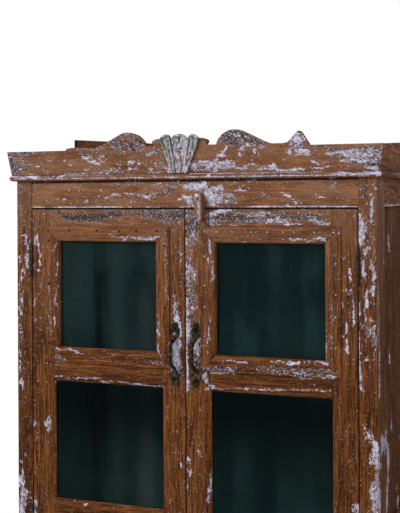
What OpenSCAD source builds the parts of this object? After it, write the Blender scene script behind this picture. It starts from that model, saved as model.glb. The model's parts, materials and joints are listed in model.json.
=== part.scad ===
// Glazed display cabinet: a pair of inset glazed doors between posts that run down as legs,
// with shelves inside and a bead and a leaning, scrolled cornice board over the doors.
// Millimetres. +Z is up and the front faces -Y. The origin is on the floor, under the middle
// of the whole object. Modules are drawn with Y = 0 at the front of the posts and then placed.

/* [Carcass] */
// Width over the posts
carcass_w = 880; // [760:10:1100]
// Depth from the front of the posts to their back
carcass_d = 400; // [330:10:520]
// Height of the legs below the bottom rails
leg_h = 80; // [50:5:180]
// Width of a post seen from the front
post_w = 40; // [32:1:60]
// Depth of a front post
front_post_d = 75; // [50:5:110]
// Depth of a back post
back_post_d = 40; // [30:5:60]
// Height of the bottom rails
bottom_rail_h = 60; // [45:1:90]
// Height of the frieze rail over the doors
frieze_h = 110; // [90:5:150]
// Thickness of the side rails
side_rail_t = 22; // [16:1:30]
// Setback of the side rails from the face of the posts
side_rail_setback = 4; // [1:1:8]
// Height of the middle side rails
side_mid_rail_h = 70; // [50:5:110]
// Thickness of the side panels
side_panel_t = 8; // [5:1:12]
// Thickness of the back rails
back_rail_t = 20; // [15:1:28]
// Thickness of the back boards
back_board_t = 10; // [6:1:14]
// Setback of the back boards from the back of the posts
back_setback = 2; // [0.5:0.5:6]
// Number of back boards
back_board_count = 6; // [4:1:10]
// Gap between two back boards
back_board_gap = 0.6; // [0.3:0.1:2]
// Thickness of the top board
top_board_t = 18; // [14:1:26]
// Thickness of the bottom board
bottom_board_t = 18; // [14:1:26]
// Drop of the bottom board below the top of the bottom rails
bottom_board_drop = 20; // [18:1:30]

/* [Shelves] */
// Thickness of a shelf
shelf_t = 18; // [12:1:26]
// Setback of the shelves' front edge from the front of the posts
shelf_setback = 46; // [44:1:70]
// Gap between a shelf and the posts beside it
shelf_gap = 0.3; // [0.2:0.1:2]
// Width of a shelf cleat
cleat_w = 15; // [10:1:25]
// Height of a shelf cleat
cleat_h = 20; // [12:1:30]

/* [Doors] */
// Thickness of the doors
door_t = 27; // [22:1:34]
// Number of lights in each door
light_rows = 4; // [2:1:5]
// Height of a light
light_h = 280; // [220:5:340]
// Width of a door stile
stile_w = 59; // [45:1:75]
// Height of the top rail of a door
door_top_rail_h = 62; // [50:1:80]
// Height of a middle rail of a door
door_mid_rail_h = 68; // [56:1:90]
// Height of the bottom rail of a door
door_bottom_rail_h = 98; // [70:1:130]
// Gap above and below a door
door_gap = 3; // [1.5:0.5:5]
// Gap at the hinge side of a door
hinge_gap = 1.5; // [1:0.1:2.5]
// Gap between the two doors
meet_gap = 2; // [1.5:0.5:5]
// Gap between the back of a door and its stops
stop_gap = 0.5; // [0.3:0.1:2]
// Width of a door stop
stop_w = 12; // [8:1:18]
// Thickness of a door stop
stop_t = 12; // [8:1:14]
// Width of the chamfer round a lower light
chamfer_w = 12; // [6:1:16]
// Depth of the chamfer round a lower light
chamfer_d = 8; // [4:1:10]

/* [Glazing] */
// Distance from the door's face to the glass
glass_inset = 12; // [11:1:16]
// Thickness of the glass
glass_t = 3; // [2:0.5:5]
// Width of the rebate that holds the glass
rebate_w = 9; // [6:1:14]
// Gap between the glass and the rebate
glass_gap = 0.3; // [0.2:0.1:1]
// Width of the nailed strip round a top light
strip_w = 22; // [16:1:28]
// Thickness of the nailed strip
strip_t = 4; // [3:0.5:7]
// Width of the glazing bead inside the strip
bead_w = 14; // [9:1:18]
// Rise of the glazing bead over the strip
bead_rise = 0.6; // [0.2:0.1:2]
// Gap in a mitre
mitre_gap = 0.15; // [0.05:0.05:0.5]
// Diameter of a nail
nail_d = 2.2; // [1.4:0.2:3]
// Diameter of a nail's head
nail_head_d = 5; // [4:0.5:7]
// Height of a nail's head
nail_head_h = 1; // [0.6:0.1:1.8]
// Length of a nail in the wood
nail_l = 16; // [10:1:22]

/* [Cornice] */
// Height of the frieze that shows below the bead
frieze_show = 64; // [50:1:80]
// Height of the cornice bead
cornice_bead_h = 14; // [10:1:20]
// Projection of the cornice bead
cornice_bead_out = 13; // [9:1:18]
// Projection of the cornice board at its foot
cornice_foot_out = 9; // [6:1:14]
// Projection of the cornice board at its level top
cornice_top_out = 17; // [12:1:24]
// Height of the cornice board at its level top
cornice_h = 57; // [50:1:80]
// Thickness of the free part of the cornice board
cornice_t = 14; // [8:1:20]
// Height of the valleys between the scrolls
valley_h = 62; // [58:1:82]
// Radius of the round scrolls
scroll_r = 47; // [30:1:50]
// Distance of the round scrolls from the middle
scroll_x = 128; // [115:1:140]
// Height of the round scrolls
scroll_h = 95; // [88:1:120]
// Distance of the pointed scroll from the middle
peak_x = 275; // [260:1:290]
// Height of the pointed scroll
peak_h = 88; // [82:1:110]
// Width of the board's wings behind the shell
wing_w = 140; // [120:1:150]
// Height of the board's wings behind the shell
wing_h = 79; // [76:1:92]
// Rise of the side boards' top edges from the front to the back
side_rise = 22; // [0:1:30]

/* [Shell] */
// Height of the shell's middle lobe
shell_h = 91; // [80:1:110]
// Thickness of the shell
shell_t = 8; // [6:0.5:10]
// Width of the shell's middle lobe
middle_lobe_w = 44; // [34:1:50]
// Width of a side lobe
side_lobe_w = 29; // [24:1:36]
// Width of the shell's foot
shell_foot_w = 39; // [32:1:46]
// Distance of the shell from the middle, to the left
shell_x = 8; // [0:1:12]
// Lean of the shell's lobes to the right, in degrees
shell_turn = 3.5; // [0:0.5:6]

/* [Batten] */
// Length of the batten behind the cornice board
batten_l = 204; // [160:2:230]
// Thickness of the batten
batten_t = 20; // [12:1:30]
// Height of the batten's outer end
batten_h = 33; // [26:1:50]
// Distance of the batten's outer end from the middle
batten_x = 284; // [260:2:300]

/* [Turn button] */
// Distance of the button's pivot from the middle
button_x = 40; // [28:1:60]
// Height of the button's pivot above the frieze's lower edge
button_lift = 20; // [17:1:24]
// Length of the button's arm below its pivot
button_arm = 52; // [40:1:58]
// Length of the button above its pivot
button_head = 12; // [9:1:16]
// Width of the button at its head
button_w = 16; // [12:1:22]
// Width of the button at its tip
button_tip_w = 9; // [6:1:12]
// Thickness of the button
button_t = 22; // [14:1:26]
// Thickness of the washer under the button
washer_t = 0.8; // [0.5:0.1:2]
// Diameter of the washer
washer_d = 14; // [10:1:16]
// Diameter of the button's nail
button_nail_d = 4; // [3:0.5:6]
// Diameter of the head of the button's nail
button_nail_head_d = 9; // [7:0.5:12]
// Length of the button's nail in the frieze
button_nail_l = 20; // [14:1:24]

/* [Hinges] */
// Length of a butt hinge
hinge_l = 76; // [50:2:100]
// Distance from a door's end to the middle of its nearest hinge
hinge_inset = 123; // [90:1:160]
// Number of hinges on a door
hinge_count = 3; // [2:1:4]
// Width of a hinge leaf behind the face
leaf_w = 23; // [18:1:24]
// Thickness of a hinge leaf
leaf_t = 1.6; // [1.2:0.1:2]
// Gap between the closed leaves
leaf_gap = 0.3; // [0.2:0.1:0.6]
// Diameter of a hinge knuckle
knuckle_d = 6; // [5:0.5:8]
// Diameter of a hinge pin
pin_d = 3; // [2.5:0.5:3.5]
// Gap between two knuckles
knuckle_gap = 0.4; // [0.3:0.1:0.8]
// Gap between the knuckles and the face of the posts
knuckle_proud = 0.2; // [0.1:0.1:0.6]
// Clearance round a pin in the moving knuckles
pin_clearance = 0.05; // [0.02:0.01:0.1]

/* [Pulls] */
// Length of a pull
pull_l = 148; // [120:2:180]
// Gap between a pull's end plate and the nailed strip beside it
pull_gap = 0.5; // [0.5:0.5:6]
// Distance from the top of a door to the middle of its pull
pull_drop = 330; // [200:5:420]
// Projection of a pull from the door's face
pull_out = 30; // [24:1:40]
// Width of a pull's end plate
pull_plate_w = 24; // [18:1:28]
// Length of a pull's end plate
pull_plate_l = 35; // [28:1:42]
// Thickness of a pull's end plate
pull_plate_t = 3; // [2:0.5:5]
// Width of the bow of a pull
pull_bow_w = 9; // [7:0.5:14]
// Thickness of the bow of a pull
pull_bow_t = 8; // [5:0.5:10]
// Diameter of a pull's screw
screw_d = 4; // [3:0.5:5]
// Diameter of a screw's head
screw_head_d = 7.6; // [6:0.2:9]
// Length of a pull's screw in the door
screw_l = 18; // [12:1:20]

/* [Bolts] */
// Diameter of a bolt's rod
bolt_d = 8; // [6:0.5:8]
// Length of a bolt's rod
bolt_l = 96; // [80:2:140]
// Travel of a bolt
bolt_travel = 14; // [8:1:16]
// Distance of a bolt's end from the end of the door when it is drawn back
bolt_rest = 2; // [1:0.5:4]
// Width of a bolt's plate
bolt_plate_w = 22; // [18:1:28]
// Thickness of a bolt's plate
bolt_plate_t = 1.6; // [1:0.2:2.4]
// Length of one guide of a bolt
bolt_guide_l = 12; // [8:1:16]
// Clearance round a bolt's rod
bolt_clearance = 0.1; // [0.05:0.01:0.15]
// Distance from the meeting edge of the left door to a bolt's rod
bolt_inset = 30; // [22:1:34]

/* [Hidden] */

LEFT = -1;
RIGHT = 1;
// More than any length of the object, for cutting shapes
FAR = 3000;

// Places in the whole object
front_y = (pull_out - carcass_d) / 2;
opening_x = carcass_w / 2 - post_w;
rail_t = door_t + stop_gap;
bottom_rail_top = leg_h + bottom_rail_h;
door_h = door_top_rail_h + light_rows * light_h + (light_rows - 1) * door_mid_rail_h
    + door_bottom_rail_h;
door_z = bottom_rail_top + door_gap;
door_top = door_z + door_h;
head_z = door_top + door_gap;
post_top = head_z + frieze_h;
cornice_bead_z = head_z + frieze_show;
cornice_z = cornice_bead_z + cornice_bead_h;
side_rail_x = carcass_w / 2 - side_rail_setback;
side_panel_x = side_rail_x - (side_rail_t - side_panel_t) / 2;
back_board_y = carcass_d - back_setback - back_board_t;
back_rail_y = back_board_y - back_rail_t;
back_post_y = carcass_d - back_post_d;
bottom_board_top = bottom_rail_top - bottom_board_drop;
side_mid_z = (bottom_rail_top + head_z) / 2 - side_mid_rail_h / 2;

// Doors: u runs from the hinge edge to the meeting edge
door_w = opening_x - hinge_gap - meet_gap / 2;
light_u0 = stile_w;
light_u1 = door_w - stile_w;
light_w = light_u1 - light_u0;
light_pitch = light_h + door_mid_rail_h;
first_light_z = door_top - door_top_rail_h - light_h;
top_light_mid_z = first_light_z + light_h / 2;
top_light_mid_u = door_w / 2;
back_bead_y = glass_inset + glass_t;
hinge_y = -knuckle_d / 2 - knuckle_proud;
leaf_recess = leaf_t - (hinge_gap - leaf_gap) / 2;
pull_inset = stile_w - strip_w - pull_gap - pull_plate_w / 2;
pull_mid_z = door_top - pull_drop;
pull_screw_dz = pull_l / 2 - pull_plate_l / 2 + 1;

// Cornice section
lean_rate = (cornice_top_out - cornice_foot_out) / cornice_h;
lean_angle = atan(lean_rate);
shoulder_h = post_top + top_board_t - cornice_z + 1;
crest_max_h = max(scroll_h, cornice_h + side_rise) + 5;

// Shelves stand level with the middle rails of the doors
function shelf_z(i) = first_light_z - (i + 0.5) * door_mid_rail_h - i * light_h - shelf_t / 2;
function light_z(i) = first_light_z - i * light_pitch;
function hinge_mid_z(i) =
    door_z + hinge_inset + i * (door_h - 2 * hinge_inset) / (hinge_count - 1);
function arc(x, y, r, a0, a1, steps) =
    [for (i = [0 : steps]) let (a = a0 + (a1 - a0) * i / steps) [x + r * cos(a), y + r * sin(a)]];
function flip(points) = [for (i = [len(points) - 1 : -1 : 0]) [-points[i][0], points[i][1]]];

// Distances of the nails along the strips of each top light, from the middle of each strip
nails_top_left = [-152, -96, -22, 36, 80, 132];
nails_bottom_left = [-104, -36, 18];
nails_side_left = [-118, 24, 126];
nails_top_right = [-150, -122, -84, -40, -2, 34, 58, 104, 148];
nails_bottom_right = [-124, -76, -28, 10];
nails_side_right = [-96, -30, 18, 84];

// Colours
wood = [0.56, 0.34, 0.18];
dark_wood = [0.36, 0.22, 0.13];
white_wood = [0.74, 0.69, 0.74];
teal = [0.10, 0.17, 0.18];
glass = [0.30, 0.42, 0.44, 0.5];
iron = [0.24, 0.22, 0.17];
shell_paint = [0.72, 0.76, 0.70];

// A board between two corners
module board(low, high) {
    translate(low) cube(high - low);
}

// Puts what is drawn from the front of the posts into the object's frame
module place() {
    translate([0, front_y, 0]) children();
}

// Puts what is drawn in door coordinates on the left or the right door
module on_door(side) {
    place() translate([side * (opening_x - hinge_gap), 0, 0])
        if (side == RIGHT) mirror([1, 0, 0]) children();
        else children();
}

// Runs a section of points [outward or upward, y] along X
module run_along_x(length) {
    rotate([0, -90, 0]) linear_extrude(length, center = true) children();
}

// Stands an outline of points [x, z] up and gives it a thickness behind the face y
module upright(y, thickness) {
    translate([0, y + thickness, 0]) rotate([90, 0, 0]) linear_extrude(thickness) children();
}

// A front or back post on one side
module post(side, y, depth) {
    low = [side * carcass_w / 2 - (side == RIGHT ? post_w : 0), y, 0];
    board(low, low + [post_w, depth, post_top]);
}

module post_front(side) {
    color(wood) place() difference() {
        post(side, 0, front_post_d);
        for (i = [0 : hinge_count - 1])
            board(
                [side * opening_x - leaf_recess, -1, hinge_mid_z(i) - hinge_l / 2],
                [side * opening_x + leaf_recess, leaf_w, hinge_mid_z(i) + hinge_l / 2]
            );
    }
}

module post_back(side) {
    color(wood) place() post(side, back_post_y, back_post_d);
}

module frieze_rail() {
    color(wood) place() difference() {
        board([-opening_x, 0, head_z], [opening_x, rail_t, post_top]);
        translate([button_x, -1, head_z + button_lift]) rotate([-90, 0, 0])
            cylinder(h = button_nail_l + 1, d = button_nail_d, $fn = 32);
    }
}

module front_bottom_rail() {
    color(wood) place() board([-opening_x, 0, leg_h], [opening_x, rail_t, bottom_rail_top]);
}

// Left and right sides: rails at the bottom, the middle and the top, between the posts
module side_rails(side) {
    spans = [[leg_h, bottom_rail_top], [side_mid_z, side_mid_z + side_mid_rail_h], [head_z, post_top]];
    x = side == RIGHT ? side_rail_x - side_rail_t : -side_rail_x;
    color(wood) place() for (span = spans)
        board([x, front_post_d, span[0]], [x + side_rail_t, back_post_y, span[1]]);
}

module side_panels(side) {
    spans = [[bottom_rail_top, side_mid_z], [side_mid_z + side_mid_rail_h, head_z]];
    x = side == RIGHT ? side_panel_x - side_panel_t : -side_panel_x;
    color(dark_wood) place() for (span = spans)
        board([x, front_post_d, span[0]], [x + side_panel_t, back_post_y, span[1]]);
}

module back_rails() {
    spans = [[leg_h, bottom_rail_top], [head_z, post_top]];
    color(wood) place() for (span = spans)
        board([-opening_x, back_rail_y, span[0]], [opening_x, back_board_y, span[1]]);
}

module back_boards() {
    pitch = 2 * opening_x / back_board_count;
    color(teal) place() for (i = [0 : back_board_count - 1])
        board(
            [-opening_x + i * pitch + back_board_gap / 2, back_board_y, leg_h],
            [-opening_x + (i + 1) * pitch - back_board_gap / 2, back_board_y + back_board_t, post_top]
        );
}

module bottom_board() {
    color(teal) place() board(
        [-opening_x + shelf_gap, rail_t, bottom_board_top - bottom_board_t],
        [opening_x - shelf_gap, back_rail_y, bottom_board_top]
    );
}

module top_board() {
    color(dark_wood) place() board(
        [-carcass_w / 2, 0, post_top],
        [carcass_w / 2, carcass_d - back_setback, post_top + top_board_t]
    );
}

module shelf(i) {
    color(teal) place() board(
        [-opening_x + shelf_gap, shelf_setback, shelf_z(i)],
        [opening_x - shelf_gap, back_board_y - shelf_gap, shelf_z(i) + shelf_t]
    );
}

// Cleats under the shelves and the bottom board, each from a front post to a back post
module shelf_cleats() {
    tops = [
        for (i = [0 : 2]) shelf_z(i),
        bottom_board_top - bottom_board_t
    ];
    color(teal) place() for (side = [LEFT, RIGHT], top = tops) {
        x = side == RIGHT ? opening_x - cleat_w : -opening_x;
        board([x, shelf_setback, top - cleat_h], [x + cleat_w, back_rail_y, top]);
    }
}

// Stops behind the doors, with a gap over the door bolt
module door_stops() {
    stop_top = head_z + 2 * stop_w;
    bolt_x = -(meet_gap / 2 + bolt_inset);
    clear = bolt_plate_w / 2 + 3;
    color(teal) place() {
        for (side = [LEFT, RIGHT]) {
            x = side == RIGHT ? opening_x - stop_w : -opening_x;
            board([x, rail_t, bottom_rail_top], [x + stop_w, rail_t + stop_t, stop_top]);
        }
        board(
            [-opening_x + stop_w, rail_t, head_z - stop_w],
            [bolt_x - clear, rail_t + stop_t, stop_top]
        );
        board(
            [bolt_x + clear, rail_t, head_z - stop_w],
            [opening_x - stop_w, rail_t + stop_t, stop_top]
        );
    }
}

// Section of the cornice board, [height, y]: it leans forward, and its lower back is upright
module cornice_section() {
    polygon([
        [0, 0],
        [0, -cornice_foot_out],
        [crest_max_h, -cornice_foot_out - lean_rate * crest_max_h],
        [crest_max_h, cornice_t - cornice_foot_out - lean_rate * crest_max_h],
        [shoulder_h, cornice_t - cornice_foot_out - lean_rate * shoulder_h],
        [shoulder_h, 0]
    ]);
}

// Section of the cornice bead, [height, y]
module cornice_bead_section() {
    r = cornice_bead_h / 2;
    polygon(concat(
        [[0, 0]],
        [for (p = arc(0, 0, r, -90, 90, 12)) [r + p[1], -(cornice_bead_out - r) - p[0]]],
        [[cornice_bead_h, 0]]
    ));
}

// The region in plan that a front run keeps between its two mitres
module front_plan() {
    half = carcass_w / 2;
    reach = 4 * cornice_top_out;
    polygon([[-half, 0], [-half - reach, -reach], [half + reach, -reach], [half, 0]]);
}

// The region in plan that a run on the right side keeps behind its mitre
module side_plan() {
    half = carcass_w / 2;
    reach = 4 * cornice_top_out;
    polygon([
        [half, mitre_gap],
        [half + reach, mitre_gap - reach],
        [half + reach, carcass_d - back_setback],
        [half, carcass_d - back_setback]
    ]);
}

// A run of a section on one side of the cabinet, starting at the height z
module side_run(side, z) {
    mirror([side == RIGHT ? 0 : 1, 0, 0]) intersection() {
        translate([carcass_w / 2, 0, z]) rotate([0, 0, 90]) run_along_x(FAR) children();
        linear_extrude(FAR) side_plan();
    }
}

// Half of the cornice board's top line, from behind the shell out to the right end
wing_x = wing_w / 2;
wing_end_h = valley_h + (wing_h - valley_h) * 0.7;
scroll_start = 180 - asin((valley_h + 1 - scroll_h + scroll_r) / scroll_r);
scroll_slope = 24.2;
scroll_foot_x = 206;
// The left scroll stands a little farther out, and the wings a little to the left
scroll_shift = 5;
wing_shift = 4.5;
peak_foot_x = 298;
wing_line = [
    [0, wing_h],
    [wing_x / 2 - 4, wing_h],
    [wing_x - 14, wing_end_h + 4.5],
    [wing_x - 5, wing_end_h + 1],
    [wing_x - 2, wing_end_h - 2],
    [wing_x - 3, wing_end_h - 6],
    [wing_x - 6, valley_h + 3],
    [wing_x - 3, valley_h + 1]
];
scroll_line = concat(
    arc(scroll_x, scroll_h - scroll_r, scroll_r, scroll_start, 90 - scroll_slope, 14),
    [[scroll_foot_x - 12, valley_h + 6], [scroll_foot_x, valley_h + 1.5], [scroll_foot_x + 10, valley_h]]
);
peak_line = concat(
    arc(peak_x - 38, valley_h + 25, 25, -90, -45, 5),
    arc(peak_x, peak_h - 6, 6, 135, 30, 5),
    [[peak_foot_x - 9, cornice_h + 14], [peak_foot_x, cornice_h]]
);
// The left pointed scroll is broken off down to a low stub
stub_line = [
    [-peak_foot_x, cornice_h],
    [-peak_foot_x + 5, valley_h - 0.5],
    [-peak_foot_x + 14, valley_h + 1],
    [-peak_x + 14, valley_h + 2],
    [-peak_x + 30, valley_h]
];

module cornice_outline() {
    end_x = carcass_w / 2 + 2 * cornice_top_out;
    polygon(concat(
        [[end_x, -1], [-end_x, -1], [-end_x, cornice_h]],
        stub_line,
        [for (p = flip(scroll_line)) [p[0] - scroll_shift, p[1]]],
        [for (p = concat(flip(wing_line), wing_line)) [p[0] - wing_shift, p[1]]],
        scroll_line,
        peak_line,
        [[end_x, cornice_h]]
    ));
}

module cornice_front() {
    color(wood) place() intersection() {
        translate([0, 0, cornice_z]) run_along_x(FAR) cornice_section();
        translate([0, 0, cornice_z]) upright(-FAR / 2, FAR) cornice_outline();
        linear_extrude(FAR) front_plan();
    }
}

// A side board of the cornice, whose top edge rises towards the back
module cornice_side(side) {
    color(wood) place() intersection() {
        side_run(side, cornice_z) cornice_section();
        translate([-FAR / 2, 0, cornice_z]) rotate([90, 0, 90]) linear_extrude(FAR) polygon([
            [-4 * cornice_top_out, -1],
            [carcass_d, -1],
            [carcass_d, cornice_h + side_rise],
            [0, cornice_h],
            [-4 * cornice_top_out, cornice_h]
        ]);
    }
}

module cornice_bead_front() {
    color(white_wood) place() intersection() {
        translate([0, 0, cornice_bead_z]) run_along_x(FAR) cornice_bead_section();
        linear_extrude(FAR) front_plan();
    }
}

module cornice_bead_sides() {
    color(white_wood) place() for (side = [LEFT, RIGHT])
        side_run(side, cornice_bead_z) cornice_bead_section();
}

// Outline of one lobe of the shell, from its foot up to a low arch, leaning to one side
module lobe_outline(height, foot_w, top_w, lean) {
    arch_h = top_w * 0.3;
    rotate(-lean) polygon(concat(
        [[foot_w / 2, 0]],
        [for (p = arc(0, 0, 1, 0, 180, 16)) [p[0] * top_w / 2, height - arch_h + p[1] * arch_h]],
        [[-foot_w / 2, 0]]
    ));
}

// A hollow flute that widens and deepens upwards, in front of the shell's face
module flute(height, foot_w, top_w, lean) {
    foot_r = foot_w / 2 + 1;
    top_r = top_w / 2;
    foot_cut = 2;
    top_cut = 5;
    tilt = atan((top_r - top_cut - foot_r + foot_cut) / height);
    rotate(-lean) translate([0, 0, foot_r - foot_cut]) rotate([-90 + tilt, 0, 0])
        cylinder(h = height, r1 = foot_r, r2 = top_r, $fn = 48);
}

module shell_ornament() {
    foot_w = shell_foot_w / 3;
    side_h = shell_h + 1;
    side_x = foot_w;
    side_lean = atan((middle_lobe_w + side_lobe_w - 2 * side_x) / 2 / side_h);
    color(shell_paint) place() translate([-shell_x, -cornice_foot_out, cornice_z])
        rotate([90 + lean_angle, 0, 0]) difference() {
            linear_extrude(shell_t) intersection() {
                union() {
                    lobe_outline(shell_h, foot_w, middle_lobe_w, shell_turn);
                    for (side = [LEFT, RIGHT]) translate([side * side_x, 0])
                        lobe_outline(side_h, foot_w, side_lobe_w, side * side_lean + shell_turn);
                }
                translate([-FAR / 2, 0.5]) square(FAR);
            }
            translate([0, 0, shell_t]) {
                flute(shell_h - 8, foot_w - 4, middle_lobe_w - 12, shell_turn);
                for (side = [LEFT, RIGHT]) translate([side * side_x, 0, 0])
                    flute(side_h - 8, foot_w - 5, side_lobe_w - 10, side * side_lean + shell_turn);
            }
        }
}

module crest_batten() {
    z = post_top + top_board_t;
    end_cut = 6;
    color(dark_wood) place() upright(2, batten_t) polygon([
        [-batten_x + end_cut, z],
        [-batten_x + batten_l, z],
        [-batten_x + batten_l, z + batten_h * 0.6],
        [-batten_x, z + batten_h],
        [-batten_x, z + batten_h * 0.3]
    ]);
}

// Moves to the pivot of the turn button, at the front face of the frieze
module at_button() {
    translate([button_x, 0, head_z + button_lift]) children();
}

module turn_button() {
    color(white_wood) place() at_button() difference() {
        upright(-washer_t - button_t, button_t) polygon(concat(
            arc(0, button_head - button_w / 2, button_w / 2, 0, 180, 10),
            [[-button_w / 2 + 1, -button_arm / 2]],
            arc(0, -button_arm + button_tip_w / 2, button_tip_w / 2, 180, 360, 8),
            [[button_w / 2 - 1, -button_arm / 2]]
        ));
        translate([0, 1, 0]) rotate([90, 0, 0])
            cylinder(h = button_t + washer_t + 2, d = button_nail_d + 2 * pin_clearance, $fn = 32);
    }
}

// The nail that the button turns on, with the washer between the button and the frieze
module button_nail() {
    gap = 0.3;
    head_h = 1.6;
    head_y = -washer_t - button_t - gap;
    color(iron) place() at_button() {
        translate([0, button_nail_l, 0]) rotate([90, 0, 0])
            cylinder(h = button_nail_l - head_y, d = button_nail_d, $fn = 32);
        translate([0, head_y, 0]) rotate([90, 0, 0])
            cylinder(h = head_h, d1 = button_nail_head_d, d2 = button_nail_head_d - head_h, $fn = 32);
        rotate([90, 0, 0]) cylinder(h = washer_t - gap, d = washer_d, $fn = 32);
    }
}

// Knuckles of a hinge from the bottom: 0, 2 and 4 are on the fixed leaf, 1 and 3 on the door's
knuckle_l = hinge_l / 5;

// One leaf with its knuckles, drawn round the pin. The plate reaches back along +Y from the pin,
// between the distances x0 and x1 from it.
module hinge_leaf(own, others, x0, x1, bore) {
    difference() {
        union() {
            translate([x0, 0, 0]) cube([x1 - x0, leaf_w - hinge_y, hinge_l]);
            for (i = own) translate([0, 0, i * knuckle_l + knuckle_gap / 2])
                cylinder(h = knuckle_l - knuckle_gap, d = knuckle_d, $fn = 32);
        }
        for (i = own) translate([0, 0, i * knuckle_l - 1])
            cylinder(h = knuckle_l + 2, d = bore, $fn = 32);
        for (i = others) translate([0, 0, i * knuckle_l - knuckle_gap / 2])
            cylinder(h = knuckle_l + knuckle_gap, d = knuckle_d + 2 * leaf_gap, $fn = 32);
    }
}

// Moves to the foot of each hinge pin of one door, with X towards the door
module at_hinges(side) {
    place() for (i = [0 : hinge_count - 1])
        translate([side * (opening_x - hinge_gap / 2), hinge_y, hinge_mid_z(i) - hinge_l / 2])
            mirror([side == RIGHT ? 1 : 0, 0, 0]) children();
}

module hinge_leaves_fixed() {
    color(iron) for (side = [LEFT, RIGHT]) at_hinges(side)
        hinge_leaf([0, 2, 4], [1, 3], -leaf_gap / 2 - leaf_t, -leaf_gap / 2, pin_d);
}

module hinge_leaves_door(side) {
    color(iron) at_hinges(side)
        hinge_leaf([1, 3], [0, 2, 4], leaf_gap / 2, leaf_gap / 2 + leaf_t, pin_d + 2 * pin_clearance);
}

module hinge_pins() {
    tip_h = 2;
    color(iron) for (side = [LEFT, RIGHT]) at_hinges(side) {
        cylinder(h = hinge_l, d = pin_d, $fn = 32);
        translate([0, 0, hinge_l]) cylinder(h = tip_h, d1 = knuckle_d - 0.6, d2 = pin_d, $fn = 32);
        translate([0, 0, -tip_h]) cylinder(h = tip_h, d1 = pin_d, d2 = knuckle_d - 0.6, $fn = 32);
    }
}

// The chamfered and rebated openings of the lights, cut out of a door's boards
module light_cuts() {
    slope = chamfer_w / chamfer_d;
    for (i = [0 : light_rows - 1]) {
        z = light_z(i);
        board([light_u0 - rebate_w, glass_inset, z - rebate_w],
            [light_u1 + rebate_w, door_t + 1, z + light_h + rebate_w]);
        if (i > 0) intersection() {
            translate([0, 0, z - FAR / 2]) linear_extrude(FAR) polygon([
                [light_u0 - chamfer_w - slope, -1],
                [light_u1 + chamfer_w + slope, -1],
                [light_u1, chamfer_d],
                [light_u0, chamfer_d]
            ]);
            translate([door_w / 2, 0, 0]) run_along_x(FAR) polygon([
                [z - chamfer_w - slope, -1],
                [z + light_h + chamfer_w + slope, -1],
                [z + light_h, chamfer_d],
                [z, chamfer_d]
            ]);
        }
    }
}

// A round hole straight into the door's face
module face_bore(u, z, d, depth) {
    translate([u, -strip_t - 1, z]) rotate([-90, 0, 0])
        cylinder(h = depth + strip_t + 1, d = d, $fn = 24);
}

// Places of the nails of one door, in door coordinates
function nail_places(side) =
    let (
        half_w = (light_w + strip_w) / 2,
        half_h = (light_h + strip_w) / 2,
        top = side == LEFT ? nails_top_left : -nails_top_right,
        bottom = side == LEFT ? nails_bottom_left : -nails_bottom_right,
        sides = side == LEFT ? nails_side_left : nails_side_right
    )
    concat(
        [for (d = top) [top_light_mid_u + d, top_light_mid_z + half_h]],
        [for (d = bottom) [top_light_mid_u + d, top_light_mid_z - half_h]],
        [for (d = sides) [top_light_mid_u - half_w, top_light_mid_z + d]],
        [for (d = sides) [top_light_mid_u + half_w, top_light_mid_z - d]]
    );

module nail_bores(side) {
    for (p = nail_places(side)) face_bore(p[0], p[1], nail_d, nail_l - strip_t);
}

module pull_screw_bores() {
    for (end = [-1, 1])
        face_bore(door_w - pull_inset, pull_mid_z + end * pull_screw_dz, screw_d, screw_l);
}

module hinge_stile(side) {
    color(wood) on_door(side) difference() {
        board([0, 0, door_z], [stile_w, door_t, door_top]);
        light_cuts();
        nail_bores(side);
        for (i = [0 : hinge_count - 1])
            board(
                [-1, -1, hinge_mid_z(i) - hinge_l / 2],
                [leaf_recess, leaf_w, hinge_mid_z(i) + hinge_l / 2]
            );
    }
}

module meeting_stile(side) {
    color(wood) on_door(side) difference() {
        board([door_w - stile_w, 0, door_z], [door_w, door_t, door_top]);
        light_cuts();
        nail_bores(side);
        pull_screw_bores();
    }
}

// A rail of a door between its stiles
module door_rail(side, z0, z1) {
    difference() {
        board([stile_w, 0, z0], [door_w - stile_w, door_t, z1]);
        light_cuts();
        nail_bores(side);
    }
}

module door_top_rail(side) {
    color(wood) on_door(side) door_rail(side, door_top - door_top_rail_h, door_top);
}

module door_mid_rails(side) {
    color(wood) on_door(side) for (i = [1 : light_rows - 1])
        door_rail(side, light_z(i) + light_h, light_z(i - 1));
}

module door_bottom_rail(side) {
    color(wood) on_door(side) door_rail(side, door_z, door_z + door_bottom_rail_h);
}

// Four mitred runs round a rectangle w by h. The child is a section of points [outward, y],
// from the distance inner inside the rectangle's edge to the distance outer outside it.
module mitred_frame(w, h, inner, outer) {
    gap = mitre_gap / 2;
    for (turn = [0 : 3]) rotate([0, 90 * turn, 0]) {
        half_w = (turn % 2 == 0 ? w : h) / 2;
        half_h = (turn % 2 == 0 ? h : w) / 2;
        intersection() {
            translate([0, 0, half_h]) run_along_x(2 * (half_w + outer)) children();
            upright(-FAR / 2, FAR) polygon([
                [-half_w - outer + gap, half_h + outer],
                [half_w + outer - gap, half_h + outer],
                [half_w - inner - gap, half_h - inner],
                [-half_w + inner + gap, half_h - inner]
            ]);
        }
    }
}

// Moves to the middle of the top light
module at_top_light() {
    translate([top_light_mid_u, 0, top_light_mid_z]) children();
}

module nailed_strips(side) {
    color(wood) on_door(side) difference() {
        at_top_light() mitred_frame(light_w, light_h, 0, strip_w)
            translate([0, -strip_t]) square([strip_w, strip_t]);
        nail_bores(side);
    }
}

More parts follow.
